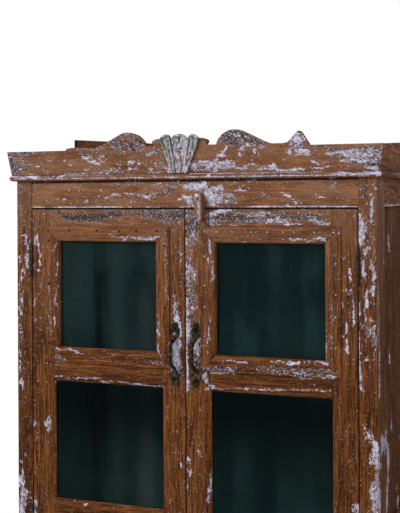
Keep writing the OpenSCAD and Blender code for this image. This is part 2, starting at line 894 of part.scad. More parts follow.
module glazing_beads(side) {
    color(wood) on_door(side) at_top_light() mitred_frame(light_w, light_h, bead_w, 0)
        polygon([
            [0, glass_inset],
            [0, -strip_t - bead_rise],
            [-bead_w * 0.2, -strip_t - bead_rise],
            [-bead_w * 0.8, -strip_t / 4],
            [-bead_w, strip_t * 0.8],
            [-bead_w, glass_inset]
        ]);
}

module strip_nails(side) {
    color(iron) on_door(side) for (p = nail_places(side))
        translate([p[0], -strip_t, p[1]]) {
            rotate([-90, 0, 0]) cylinder(h = nail_l, d = nail_d, $fn = 24);
            rotate([90, 0, 0])
                cylinder(h = nail_head_h, d1 = nail_head_d, d2 = nail_head_d * 0.6, $fn = 24);
        }
}

module glass_panes(side) {
    reach = rebate_w - glass_gap;
    color(glass) on_door(side) for (i = [0 : light_rows - 1])
        board(
            [light_u0 - reach, glass_inset, light_z(i) - reach],
            [light_u1 + reach, glass_inset + glass_t, light_z(i) + light_h + reach]
        );
}

// Beads behind the glass, which hold it in the rebates
module back_beads(side) {
    color(teal) on_door(side) for (i = [0 : light_rows - 1])
        translate([door_w / 2, 0, light_z(i) + light_h / 2])
            mitred_frame(light_w, light_h, 0, rebate_w)
                translate([0, back_bead_y]) square([rebate_w, door_t - back_bead_y]);
}

// Front outline of a pull: two pear-shaped plates and the bow between them, [x, z]
module pull_outline() {
    end_w = pull_plate_w * 0.6;
    end_cut = 3;
    half = pull_l / 2;
    neck_z = half - pull_plate_l;
    r = pull_plate_w / 2;
    lobe_z = neck_z + r * 0.9;
    upper = concat(
        [[pull_bow_w / 2, neck_z]],
        arc(0, lobe_z, r, -64, 20, 7),
        [
            [end_w / 2, half - end_cut],
            [end_w / 2 - end_cut, half],
            [-end_w / 2 + end_cut, half],
            [-end_w / 2, half - end_cut]
        ],
        arc(0, lobe_z, r, 160, 244, 7),
        [[-pull_bow_w / 2, neck_z]]
    );
    polygon(concat(upper, [for (p = upper) -p]));
}

// Rises smoothly from 0 to 1
function ease(t) = t * t * (3 - 2 * t);

// Side outline of a pull, [y, z]: flat plates on the door and a bow that swings out from them
module pull_profile() {
    half = pull_l / 2;
    neck_z = half - pull_plate_l;
    rise = 26;
    steps = 8;
    upper_front = [
        for (i = [0 : steps]) let (t = i / steps)
            [-pull_plate_t - (pull_out - pull_plate_t) * ease(t), neck_z + 1 - rise * t]
    ];
    upper_back = [
        for (i = [0 : steps]) let (t = i / steps)
            [-(pull_out - pull_bow_t) * ease(t), neck_z - 4 - (rise - 2) * t]
    ];
    upper = concat([[0, half], [-pull_plate_t, half]], upper_front);
    polygon(concat(
        upper,
        [for (i = [len(upper) - 1 : -1 : 0]) [upper[i][0], -upper[i][1]]],
        [for (p = upper_back) [p[0], -p[1]]],
        [for (i = [steps : -1 : 0]) upper_back[i]]
    ));
}

module pull(side) {
    color(iron) on_door(side) translate([door_w - pull_inset, 0, pull_mid_z]) difference() {
        intersection() {
            upright(-pull_out - 1, pull_out + 1) pull_outline();
            rotate([0, 0, 90]) rotate([90, 0, 0])
                linear_extrude(pull_plate_w + 2, center = true) pull_profile();
        }
        for (end = [-1, 1]) translate([0, 1, end * pull_screw_dz]) rotate([90, 0, 0])
            cylinder(h = pull_plate_t + 4, d = screw_d, $fn = 24);
    }
}

module pull_screws(side) {
    color(iron) on_door(side) for (end = [-1, 1])
        translate([door_w - pull_inset, 0, pull_mid_z + end * pull_screw_dz]) {
            translate([0, screw_l, 0]) rotate([90, 0, 0])
                cylinder(h = screw_l + pull_plate_t + 0.5, d = screw_d, $fn = 24);
            translate([0, -pull_plate_t - 0.5, 0]) rotate([90, 0, 0])
                cylinder(h = 2, d1 = screw_head_d, d2 = screw_head_d * 0.6, $fn = 24);
        }
}

// Bolts inside the left door: rod and guides, drawn up from the end that shoots
bolt_lift = 1;
bolt_y = door_t + bolt_plate_t + bolt_d / 2 + bolt_lift;
bolt_plate_start = 10;
bolt_plate_l = bolt_l - bolt_plate_start - 4;
guide_margin = 3;
guide_wall = 3;
first_guide_z = bolt_plate_start + guide_margin;
last_guide_z = bolt_plate_start + bolt_plate_l - bolt_guide_l - guide_margin;

// Moves to the top or the bottom bolt of the left door, with Z pointing away from the door's end
module at_bolt(top) {
    on_door(LEFT) translate([door_w - bolt_inset, 0, top ? door_top : door_z])
        mirror([0, 0, top ? 1 : 0]) children();
}

module bolt_plate() {
    guide_x = bolt_d / 2 + guide_wall;
    guide_back = bolt_y + bolt_d / 2 + guide_wall - 1;
    plate_back = door_t + bolt_plate_t;
    difference() {
        union() {
            board(
                [-bolt_plate_w / 2, door_t, bolt_plate_start],
                [bolt_plate_w / 2, plate_back, bolt_plate_start + bolt_plate_l]
            );
            for (z = [first_guide_z, last_guide_z])
                board([-guide_x, plate_back, z], [guide_x, guide_back, z + bolt_guide_l]);
        }
        translate([0, bolt_y, 0]) cylinder(h = bolt_l + 20, d = bolt_d + 2 * bolt_clearance, $fn = 32);
    }
}

module bolt_plates() {
    color(iron) {
        at_bolt(true) bolt_plate();
        at_bolt(false) bolt_plate();
    }
}

// A rod with its knob, which meets the first guide just past the end of the bolt's travel
module bolt_rod(top) {
    knob_d = 6;
    knob_l = 10;
    knob_stop = 1;
    knob_z = first_guide_z + bolt_guide_l + knob_stop + bolt_travel + knob_d / 2;
    color(iron) at_bolt(top) {
        translate([0, bolt_y, bolt_rest]) cylinder(h = bolt_l, d = bolt_d, $fn = 32);
        translate([0, bolt_y, knob_z]) rotate([-90, 0, 0])
            cylinder(h = bolt_d / 2 + knob_l, d = knob_d, $fn = 32);
    }
}

post_front(LEFT);  // post_front_left
post_front(RIGHT);  // post_front_right
post_back(LEFT);  // post_back_left
post_back(RIGHT);  // post_back_right
frieze_rail();
front_bottom_rail();
side_rails(LEFT);  // side_rails_left
side_rails(RIGHT);  // side_rails_right
side_panels(LEFT);  // side_panels_left
side_panels(RIGHT);  // side_panels_right
back_rails();
back_boards();
bottom_board();
top_board();
shelf(2);  // shelf_lower
shelf(1);  // shelf_middle
shelf(0);  // shelf_upper
shelf_cleats();
door_stops();
cornice_front();
cornice_side(LEFT);  // cornice_left
cornice_side(RIGHT);  // cornice_right
cornice_bead_front();
cornice_bead_sides();
shell_ornament();
crest_batten();
turn_button();
button_nail();
hinge_leaves_fixed();
hinge_pins();
hinge_stile(LEFT);  // hinge_stile_left
meeting_stile(LEFT);  // meeting_stile_left
door_top_rail(LEFT);  // door_top_rail_left
door_mid_rails(LEFT);  // door_mid_rails_left
door_bottom_rail(LEFT);  // door_bottom_rail_left
nailed_strips(LEFT);  // nailed_strips_left
strip_nails(LEFT);  // strip_nails_left
glazing_beads(LEFT);  // glazing_beads_left
glass_panes(LEFT);  // glass_panes_left
back_beads(LEFT);  // back_beads_left
pull(LEFT);  // pull_left
pull_screws(LEFT);  // pull_screws_left
hinge_leaves_door(LEFT);  // hinge_leaves_left
bolt_plates();
bolt_rod(true);  // bolt_rod_top
bolt_rod(false);  // bolt_rod_bottom
hinge_stile(RIGHT);  // hinge_stile_right
meeting_stile(RIGHT);  // meeting_stile_right
door_top_rail(RIGHT);  // door_top_rail_right
door_mid_rails(RIGHT);  // door_mid_rails_right
door_bottom_rail(RIGHT);  // door_bottom_rail_right
nailed_strips(RIGHT);  // nailed_strips_right
strip_nails(RIGHT);  // strip_nails_right
glazing_beads(RIGHT);  // glazing_beads_right
glass_panes(RIGHT);  // glass_panes_right
back_beads(RIGHT);  // back_beads_right
pull(RIGHT);  // pull_right
pull_screws(RIGHT);  // pull_screws_right
hinge_leaves_door(RIGHT);  // hinge_leaves_right
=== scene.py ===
# Looks of an old glazed cabinet: worn wood with flaking paint, dark old glass, iron pulls and a
# painted shell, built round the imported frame. Metres; +Z is up and the front faces -Y.
import json
import math
import zlib

import bmesh
import bpy
import numpy as np
from mathutils import Matrix, Vector


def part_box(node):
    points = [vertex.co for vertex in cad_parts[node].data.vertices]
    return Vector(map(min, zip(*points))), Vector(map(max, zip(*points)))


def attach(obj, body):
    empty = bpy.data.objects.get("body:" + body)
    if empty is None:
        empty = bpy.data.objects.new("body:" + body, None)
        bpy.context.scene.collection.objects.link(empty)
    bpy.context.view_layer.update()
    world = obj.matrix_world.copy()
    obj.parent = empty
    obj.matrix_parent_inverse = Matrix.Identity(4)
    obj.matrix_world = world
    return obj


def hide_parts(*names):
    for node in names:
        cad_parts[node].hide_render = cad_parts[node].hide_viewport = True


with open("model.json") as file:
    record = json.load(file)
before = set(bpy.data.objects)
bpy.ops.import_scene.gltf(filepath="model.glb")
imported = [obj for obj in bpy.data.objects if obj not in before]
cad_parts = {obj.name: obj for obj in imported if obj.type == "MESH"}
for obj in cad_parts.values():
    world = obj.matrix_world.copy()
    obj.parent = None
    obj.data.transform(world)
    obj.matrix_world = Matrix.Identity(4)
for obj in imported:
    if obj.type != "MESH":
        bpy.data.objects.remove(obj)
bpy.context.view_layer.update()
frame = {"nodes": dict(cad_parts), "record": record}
MM = 0.001
BODY_OF = {n: b for b, names in frame["record"]["behaviour"]["bodies"].items() for n in names}

# Places taken from the frame
FACE_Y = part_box("frieze_rail")[0].y
DOOR_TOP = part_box("hinge_stile_left")[1].z
CORNICE_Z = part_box("cornice_front")[0].z

# Camera, as the photograph was taken: places are from the middle of the front, at the floor
CAMERA_PLACE = (0.9169, FACE_Y - 2.1976, DOOR_TOP + 0.025)
CAMERA_TURN = math.radians(21.81)
CAMERA_ROLL = math.radians(-0.31)
PHOTO_SIZE = (400, 513)
FOCAL_PX = 1050
HORIZON_PX = 197.9
SENSOR_MM = 36

# Patches of old paint and grey wood on the front, chosen from the photograph. Each runs
# from (x, z) to (x, z) and has a radius and a strength in percent. Lengths are in mm, from the
# middle of the front and from the top of the doors.
CREST_PAINT = [
    (-453, 125, -431, 125, 1.5, 60), (-437, 109, -401, 109, 7.5, 20), (-428, 95, -417, 99, 2.5, 80),
    (-434, 111, -406, 118, 5, 25), (-390, 100, -370, 101, 1.5, 90), (-349, 84, -346, 86, 2, 70),
    (-346, 93, -343, 91, 2.5, 50), (-362, 96, -354, 89, 2.5, 40), (-313, 82, -271, 84, 1.5, 70),
    (-271, 84, -184, 84, 1, 85), (-302, 114, -298, 116, 1.5, 85), (-289, 104, -284, 103, 1.5, 85),
    (-335, 115, -319, 114, 1, 45), (-257, 118, -241, 119, 2, 85), (-244, 118, -233, 108, 3, 90),
    (-233, 108, -220, 114, 3, 95), (-220, 110, -213, 104, 2.5, 90), (-213, 105, -205, 112, 2, 75),
    (-212, 118, -202, 120, 2, 95), (-249, 125, -239, 122, 2.5, 45), (-233, 124, -226, 120, 2.5, 50),
    (-248, 90, -234, 100, 1.5, 80), (-199, 109, -193, 113, 2, 70), (-196, 90, -189, 84, 3, 85),
    (-184, 103, -183, 86, 1.5, 50), (-181, 89, -158, 93, 3.5, 40), (-163, 107, -158, 102, 2, 75),
    (-135, 106, -127, 108, 3, 75), (-125, 104, -120, 111, 2, 95), (-133, 92, -122, 93, 3, 90),
    (-122, 93, -110, 96, 2, 90), (-112, 99, -107, 106, 1, 65), (-145, 139, -144, 132, 2, 90),
    (-173, 146, -163, 141, 2.5, 50), (-84, 124, -69, 128, 5.5, 50), (-74, 130, -72, 130, 2, 85),
    (-64, 112, -62, 96, 3, 50), (-50, 105, -42, 96, 4.5, 55), (-40, 91, -35, 84, 3.5, 50),
    (-82, 94, -75, 92, 3, 50), (-92, 83, -60, 83, 1, 75), (24, 99, 79, 103, 8.5, 58),
    (39, 103, 51, 103, 3, 90), (55, 99, 82, 87, 7.5, 60), (31, 88, 77, 87, 3.5, 55),
    (87, 100, 122, 102, 5, 88), (82, 91, 110, 93, 5, 78), (113, 93, 150, 91, 3, 90),
    (150, 95, 164, 99, 1.5, 75), (166, 97, 176, 90, 2, 90), (176, 89, 212, 88, 2.5, 92),
    (196, 97, 215, 96, 1, 75), (212, 92, 231, 84, 3, 95), (231, 85, 258, 83, 3, 100),
    (258, 84, 267, 87, 3.5, 95), (267, 84, 289, 88, 2, 88), (298, 85, 327, 88, 1.5, 75),
    (327, 88, 344, 92, 2.5, 65), (84, 117, 101, 119, 3, 90), (96, 124, 106, 133, 4.5, 75),
    (106, 133, 108, 140, 2.5, 65), (136, 117, 141, 130, 3, 88), (141, 130, 148, 139, 3.5, 75),
    (167, 127, 178, 123, 3, 50), (190, 136, 204, 131, 2.5, 55), (204, 129, 208, 124, 2, 65),
    (265, 164, 276, 162, 4.5, 75), (263, 151, 278, 149, 8.5, 60), (256, 136, 283, 136, 7.5, 50),
    (251, 128, 253, 119, 3, 80), (269, 125, 298, 123, 3, 95), (267, 117, 303, 116, 2, 80),
    (283, 131, 294, 127, 3.5, 65), (283, 104, 311, 103, 1.5, 55), (305, 101, 311, 97, 2.5, 65),
    (320, 96, 342, 102, 2, 75), (336, 118, 375, 121, 3.5, 82), (364, 121, 390, 125, 3, 85),
    (375, 114, 433, 115, 7.5, 64), (368, 102, 390, 104, 4.5, 80), (390, 108, 412, 99, 6, 72),
    (386, 125, 433, 124, 4, 60), (420, 107, 450, 102, 7.5, 42), (433, 124, 450, 113, 7.5, 40),
    (418, 88, 441, 84, 5.5, 60), (454, 130, 454, 79, 2, 95), (104, 169, 139, 163, 6, 40),
    (146, 152, 174, 134, 7.5, 35),
]
CREST_GREY = [
    (-455, 136, -381, 136, 5, 75), (-450, 119, -448, 90, 10, 100), (-451, 96, -420, 98, 10, 90),
    (-449, 108, -440, 84, 8, 90), (-423, 123, -395, 137, 7.5, 55), (-395, 135, -356, 136, 3.5, 70),
    (-439, 109, -401, 109, 10, 45), (-176, 163, -150, 176, 6, 75), (-150, 176, -119, 175, 6, 75),
    (-119, 173, -97, 149, 5, 85), (-168, 155, -104, 152, 12, 70), (-186, 158, -215, 145, 3.5, 85),
    (-155, 141, -104, 142, 8, 80), (-270, 142, -194, 142, 3.5, 60), (-260, 130, -233, 124, 5, 45),
    (-340, 122, -335, 103, 3.5, 35), (-161, 139, -153, 132, 3.5, 80), (-62, 135, -54, 128, 6, 85),
    (-77, 153, -59, 155, 5, 65), (96, 158, 151, 161, 12, 85), (115, 146, 139, 146, 7.5, 90),
    (151, 156, 190, 144, 8, 85), (96, 169, 146, 170, 6, 80), (247, 134, 254, 128, 3.5, 65),
    (247, 115, 242, 104, 3.5, 45), (305, 135, 312, 122, 5, 65), (334, 132, 342, 126, 5, 75),
    (418, 95, 446, 92, 7.5, 75), (425, 128, 450, 123, 7.5, 65), (401, 133, 425, 128, 3.5, 75),
    (420, 107, 450, 102, 7.5, 60), (263, 151, 278, 136, 14, 85), (34, 103, 77, 89, 10, 50),
    (350, 122, 446, 118, 10, 75), (385, 104, 446, 100, 9, 75),
]
CREST_DIRT = [
    (-122, 135, -107, 131, 3, 80), (-197, 126, -192, 121, 2.5, 90), (-231, 88, -230, 88, 2, 90),
    (132, 126, 134, 135, 2, 70), (56, 159, 63, 154, 5, 95), (-455, 131, -452, 130, 2, 90),
    (-161, 134, -153, 130, 3, 70), (-119, 173, -94, 149, 2, 90), (113, 146, 141, 143, 4, 55),
    (-456, 119, -454, 90, 5, 60), (-448, 116, -447, 92, 5, 35),
]
BEAD_PAINT = [
    (-451, 78, -374, 77, 3, 88), (-374, 75, -333, 77, 3, 50), (-325, 74, -309, 77, 2.5, 85),
    (-75, 78, -70, 72, 2, 85), (-141, 79, -138, 79, 2, 75), (62, 76, 65, 74, 2.5, 95),
    (342, 76, 407, 75, 3, 60), (407, 74, 454, 73, 5, 75),
]
# Thin lines of paint along an arris: from x to x, height above the node's foot, and percent
BEAD_LINES = [
    (-446, -314, 5, 60), (-314, -43, 5, 68), (-43, 452, 5, 100), (-314, -182, 13, 70),
    (-182, -93, 13, 30), (4, 119, 13, 85), (119, 342, 13, 50),
]
FRIEZE_LINES = [
    (-397, -250, 1.2, 75), (-250, -150, 1.2, 90), (-150, -60, 1.2, 35), (-15, 10, 1.2, 50),
    (60, 150, 1.2, 40), (150, 397, 1.6, 100),
]
STRIP_LINES = [(-363, -255, 9, 60), (-255, -62, 9, 50)]
FRIEZE_PAINT = [
    (-327, 24, -326, 24, 1.5, 95), (-319, 28, -318, 28, 1.5, 85), (-311, 27, -300, 23, 2.5, 100),
    (-271, 22, -268, 21, 1.5, 85), (-255, 17, -249, 17, 2.5, 100), (-220, 31, -207, 56, 1.5, 50),
    (-207, 56, -202, 61, 1.5, 50), (-205, 25, -186, 30, 1.5, 95), (-184, 33, -163, 33, 2.5, 75),
    (-153, 35, -137, 33, 1.5, 95), (-137, 33, -127, 31, 2, 100), (-119, 34, -104, 29, 1.5, 100),
    (-104, 28, -89, 26, 2, 95), (-86, 25, -61, 55, 7.5, 30), (-66, 57, -61, 39, 5, 40),
    (-21, 19, -9, 23, 2, 88), (6, 52, 38, 50, 8.5, 68), (-2, 30, 13, 27, 5, 85), (8, 20, 18, 9, 6, 66),
    (47, 61, 52, 34, 4, 96), (54, 43, 91, 47, 8, 72), (57, 27, 81, 20, 12, 84),
    (57, 11, 71, 7, 3.5, 95), (86, 31, 114, 31, 6, 58), (98, 18, 109, 11, 5, 50),
    (119, 38, 150, 40, 1, 90), (152, 46, 156, 46, 2, 85), (166, 22, 171, 24, 2, 85),
    (175, 26, 187, 28, 1, 85), (198, 24, 203, 22, 2, 65), (145, 9, 147, 11, 2.5, 65),
    (224, 37, 233, 37, 1, 75), (235, 33, 246, 26, 2, 95), (246, 26, 258, 19, 2, 100),
    (258, 19, 259, 6, 2, 95), (267, 21, 269, 19, 2, 65), (274, 13, 276, 8, 1.5, 85),
    (235, 11, 246, 8, 1.5, 65), (314, 23, 320, 23, 1, 85),
]
FRIEZE_GREY = [
    (-49, 39, -31, 43, 7.5, 85), (-76, 53, -11, 57, 7.5, 45), (157, 68, 171, 59, 5, 65),
    (6, 52, 38, 43, 12, 50), (90, 31, 119, 20, 12, 55), (343, 62, 351, 40, 6, 40),
    (-183, 59, -111, 60, 5, 40),
]
LEFT_DOOR_PAINT = [
    (-393, -69, -392, -98, 1.5, 90), (-384, -60, -380, -98, 2, 90), (-380, -98, -377, -127, 1.5, 75),
    (-377, -127, -375, -132, 5, 96), (-383, -151, -380, -146, 3.5, 95),
    (-372, -165, -375, -192, 1.5, 95), (-369, -74, -369, -98, 1, 45), (-395, -262, -392, -269, 2.5, 95),
    (-394, -219, -396, -262, 1.5, 50), (-378, -247, -375, -254, 1.5, 65),
    (-386, -281, -376, -290, 1.5, 40), (-330, -81, -339, -102, 2.5, 50),
    (-328, -126, -334, -159, 1.5, 65), (-328, -176, -334, -217, 2, 65),
    (-334, -217, -326, -252, 1.5, 55), (-337, -257, -334, -281, 1.5, 90), (-56, -2, -49, -4, 2.5, 75),
    (-182, -64, -153, -65, 1.5, 75), (-153, -71, -145, -69, 3, 95), (-143, -64, -133, -62, 1.5, 85),
    (-133, -68, -72, -66, 3.5, 100), (-74, -69, -64, -65, 2.5, 95), (-335, -334, -324, -331, 2.5, 90),
    (-324, -335, -283, -331, 2.5, 60), (-283, -334, -259, -339, 3, 65),
    (-332, -345, -319, -344, 1.5, 65), (-65, -259, -63, -277, 2.5, 85), (-68, -277, -64, -291, 3, 90),
    (-66, -311, -68, -323, 1.5, 75), (-66, -323, -62, -339, 2, 90), (-335, -365, -321, -366, 1.5, 65),
    (-30, -45, -29, -52, 1.5, 95), (-27, -77, -22, -93, 2, 50), (-12, -70, -10, -120, 2, 50),
    (-30, -196, -23, -230, 4.5, 55), (-26, -222, -20, -256, 7, 68), (-16, -248, -11, -290, 3.5, 80),
    (-31, -306, -31, -364, 8, 94), (-19, -302, -19, -366, 8, 94), (-19, -377, -11, -388, 3.5, 75),
    (-341, -398, -316, -399, 2, 90), (-313, -402, -218, -396, 1.5, 80), (-218, -403, -153, -404, 2, 85),
    (-153, -404, -51, -408, 2, 88), (-338, -408, -335, -431, 1.5, 65), (-47, -80, -50, -121, 2, 35),
]
LEFT_DOOR_GREY = [
    (-346, -9, -344, -31, 3, 65), (-351, -253, -348, -270, 3, 85), (-351, -284, -345, -294, 3.5, 75),
    (-41, -9, -17, -7, 9, 80), (-36, -16, -22, -30, 8, 75), (-112, -9, -61, -14, 10, 85),
    (-66, -19, -7, -14, 11, 90), (-49, -48, -43, -208, 3.5, 45), (-10, -138, -8, -207, 2, 40),
    (-335, -350, -308, -356, 5, 55), (-94, -350, -53, -352, 3.5, 75), (-33, -310, -19, -371, 10, 50),
    (-350, -181, -348, -241, 3.5, 40),
]
LEFT_DOOR_DIRT = [
    (-327, -4, -311, -14, 6, 80), (-311, -15, -274, -20, 9, 90), (-274, -21, -215, -20, 10, 95),
    (-215, -18, -168, -11, 9, 85), (-168, -11, -112, -10, 8, 60), (-112, -12, -61, -14, 8, 40),
    (-66, -18, -7, -11, 8, 50), (-379, -33, -377, -36, 3, 70), (-268, -2, -189, -2, 2, 50),
]
RIGHT_DOOR_PAINT = [
    (8, -14, 27, -16, 10, 50), (3, -70, 0, -120, 3, 85), (8, -61, 25, -61, 6, 50),
    (2, -127, 7, -161, 5, 80), (12, -134, 22, -147, 6, 85), (19, -142, 24, -156, 3.5, 90),
    (5, -165, 12, -183, 4.5, 50), (2, -188, 19, -201, 3.5, 45), (3, -206, 5, -258, 7, 82),
    (9, -220, 26, -224, 4, 80), (5, -256, 5, -296, 8, 95), (1, -298, 0, -410, 4.5, 97),
    (3, -369, 1, -408, 6, 78), (22, -296, 22, -328, 7, 68), (31, -296, 31, -328, 6, 66),
    (12, -81, 27, -93, 3.5, 35), (61, -70, 63, -92, 3, 95), (63, -92, 67, -119, 3, 90),
    (58, -110, 58, -133, 1.5, 75), (67, -119, 68, -159, 2, 95), (60, -238, 62, -254, 2.5, 65),
    (60, -261, 60, -294, 2.5, 65), (55, -290, 56, -328, 2, 50), (248, -66, 289, -67, 2, 80),
    (289, -70, 307, -69, 2, 85), (304, -65, 316, -63, 3.5, 100), (320, -67, 329, -61, 3, 95),
    (311, -69, 329, -68, 2, 95), (133, -73, 147, -74, 1, 50), (326, -263, 328, -278, 1, 90),
    (326, -293, 325, -319, 3.5, 100), (91, -340, 122, -337, 1.5, 75), (126, -340, 150, -339, 3, 90),
    (206, -334, 235, -332, 1.5, 85), (242, -336, 269, -333, 4, 90), (283, -330, 292, -331, 3.5, 85),
    (303, -331, 325, -330, 5, 80), (319, -326, 330, -334, 3, 85), (49, -14, 69, -11, 7.5, 62),
    (52, -27, 73, -29, 5, 60), (73, -7, 109, -2, 3.5, 65), (152, -16, 184, -11, 5, 55),
    (156, -27, 184, -24, 5, 58), (184, -9, 230, -13, 6, 45), (184, -27, 248, -24, 6, 45),
    (237, -11, 294, -18, 6, 35), (298, -26, 320, -26, 4.5, 72), (320, -33, 344, -31, 1.5, 90),
    (49, -35, 316, -32, 1, 50), (73, -18, 156, -20, 10, 30), (360, -50, 364, -58, 2, 75),
    (364, -86, 366, -88, 2, 85), (373, -88, 375, -92, 1.5, 65), (370, -105, 371, -107, 2, 95),
    (381, -130, 383, -154, 1.5, 85), (383, -154, 385, -160, 1.5, 65), (372, -173, 385, -179, 3, 55),
    (383, -173, 385, -184, 2, 85), (387, -188, 389, -247, 2, 90), (361, -201, 365, -206, 1, 85),
    (363, -212, 365, -216, 2, 75), (372, -237, 374, -263, 2.5, 65), (365, -274, 372, -280, 2, 85),
    (372, -280, 376, -297, 2.5, 75), (374, -297, 376, -308, 3.5, 95), (392, -56, 394, -79, 1.5, 65),
    (47, -356, 112, -361, 5, 20), (103, -355, 117, -354, 3.5, 50), (212, -355, 235, -352, 5.5, 42),
    (258, -357, 325, -351, 7, 44), (314, -356, 345, -359, 5, 45), (47, -368, 119, -366, 1, 90),
    (269, -366, 345, -364, 1, 85), (47, -376, 57, -398, 4.5, 80), (54, -396, 66, -402, 3, 65),
    (47, -405, 154, -398, 1.5, 85), (154, -400, 336, -391, 1.5, 70),
]
RIGHT_DOOR_GREY = [
    (8, -11, 27, -29, 12, 95), (13, -36, 25, -43, 12, 95), (8, -52, 22, -70, 12, 70),
    (8, -75, 14, -120, 9, 40), (8, -120, 16, -165, 11, 60), (5, -172, 21, -206, 10, 65),
    (6, -210, 16, -300, 10, 45), (73, -18, 156, -20, 11, 100), (156, -18, 230, -18, 11, 75),
    (230, -13, 294, -20, 8.5, 95), (294, -13, 320, -22, 7.5, 85), (339, -206, 341, -221, 3, 75),
    (341, -230, 341, -243, 3, 70), (339, -271, 341, -299, 3, 65), (182, -352, 341, -352, 9, 42),
    (258, -356, 325, -352, 9, 78), (212, -356, 238, -353, 8, 72), (47, -360, 112, -359, 6, 62),
    (26, -292, 27, -332, 12, 90), (28, -343, 29, -368, 9, 85), (370, -173, 389, -186, 5, 40),
    (52, -11, 76, -27, 10, 60),
]
RIGHT_DOOR_DIRT = [
    (311, -5, 329, -7, 3.5, 70), (85, -16, 147, -22, 6.5, 55), (8, -38, 22, -43, 5, 50),
    (237, -11, 282, -13, 3, 45), (28, -345, 29, -366, 9, 75), (18, -242, 19, -244, 2.5, 100),
]
POST_PAINT = [
    (-434, 51, -432, 47, 2.5, 65), (-426, 39, -423, 39, 1.5, 85), (-416, -57, -413, -74, 2.5, 65),
    (-416, -79, -409, -96, 3, 90), (-413, -108, -410, -127, 3, 90), (-416, -127, -409, -147, 2.5, 75),
    (-433, -113, -427, -128, 2.5, 75), (-427, -137, -427, -171, 2, 80),
    (-419, -118, -419, -161, 1.5, 65), (-405, -147, -402, -171, 1.5, 55),
    (-428, -215, -425, -234, 2.5, 85), (-436, -239, -422, -258, 3.5, 65),
    (-408, -219, -406, -233, 2, 45), (-434, -341, -432, -394, 1.5, 90), (-420, -345, -422, -403, 1, 65),
    (-432, -409, -424, -435, 4, 95), (-434, -273, -428, -328, 2.5, 35), (403, -13, 405, -28, 3, 75),
    (405, -28, 405, -73, 4.5, 100), (416, -30, 418, -49, 2.5, 50), (427, 29, 431, 14, 2.5, 75),
    (431, 12, 429, -7, 3, 85), (427, -7, 426, -28, 2, 85), (434, 52, 438, 40, 3, 65),
    (412, -34, 414, -79, 1.5, 40), (414, -87, 416, -100, 3, 95), (409, -109, 413, -145, 2.5, 90),
    (422, -85, 424, -91, 1.5, 85), (429, -108, 429, -123, 2.5, 80), (429, -123, 433, -148, 4, 98),
    (433, -161, 430, -182, 2.5, 85), (420, -170, 424, -174, 2.5, 80), (411, -191, 417, -187, 2.5, 85),
    (418, -174, 417, -208, 2.5, 90), (401, -196, 400, -230, 2, 98), (411, -215, 415, -227, 2, 65),
    (415, -232, 422, -238, 2.5, 80), (428, -223, 432, -225, 2, 70), (426, -231, 432, -248, 2, 65),
    (432, -248, 436, -256, 2, 70), (426, -261, 434, -273, 4, 60), (415, -278, 417, -297, 2, 55),
    (428, -284, 432, -301, 2, 60), (400, -264, 400, -304, 1.5, 75), (400, -304, 401, -330, 1.5, 85),
    (402, -330, 404, -368, 3.5, 92), (404, -376, 408, -389, 3.5, 85), (415, -321, 421, -322, 2.5, 95),
    (425, -333, 429, -347, 1.5, 60), (430, -309, 432, -324, 1.5, 50),
]
POST_GREY = [
    (-437, 56, -420, 56, 5, 50), (-439, -268, -428, -316, 5, 60), (-433, -183, -428, -220, 5, 55),
    (405, -87, 407, -113, 3.5, 60), (425, -34, 433, -66, 3.5, 50), (411, -247, 432, -288, 8.5, 45),
    (429, -66, 437, -112, 3.5, 45), (-432, 22, -421, -38, 5, 30),
]
# Painted shade: the shadow under the bead along the top of the frieze; also a dark line where the frieze
# meets the left post
FRIEZE_SHADE = [(-400, 66, 400, 66, 5, 100), (-398, 5, -398, 66, 2, 60)]
BUTTON_PAINT = [(40, 32, 40, 14, 5.6, 100), (40, 14, 40, -22, 3.4, 95)]
# Painted shade on the crest batten, darkest at its left end
BATTEN_SHADE = [(-284, 160, -284, 130, 9, 100), (-270, 163, -180, 160, 3, 40)]
BUTTON_DIRT = [(40, 23, 40, 23, 4, 70)]
# Painted shade along the gaps round the doors and in a nail hole, and a painted shadow to the right of
# the right pull
DOOR_SHADE = [
    (-400, 0, 400, 0, 1.5, 90), (0, 0, 0, -1500, 2.2, 100), (-398, 0, -398, -1500, 2, 80),
    (398, 0, 398, -1500, 2, 80), (18.3, -243, 18.3, -243, 4.5, 100), (43, -290, 44, -345, 5, 50),
]
# The same for the right side, with y from the face of the posts in place of x
POST_SIDE_PAINT = [
    (6, -160, 6, -265, 5, 55), (10, -222, 14, -240, 8, 45), (12, -258, 16, -345, 7, 60),
    (14, -362, 14, -400, 8, 80), (64, -58, 66, -120, 4, 30),
]
SIDE_RAIL_LINES = [(62, 6, 400, 6, 1.5, 100)]
PANEL_SIDE_PAINT = [
    (172, -68, 172, -86, 12, 90), (176, -330, 176, -352, 6, 70), (120, -78, 121, -84, 3, 60),
]


def rgb(red, green, blue):
    """A colour as seen on a screen, 0 to 255, as the linear colour that a shader takes."""
    def linear(value):
        value /= 255
        return value / 12.92 if value <= 0.04045 else ((value + 0.055) / 1.055) ** 2.4
    return (linear(red), linear(green), linear(blue), 1)


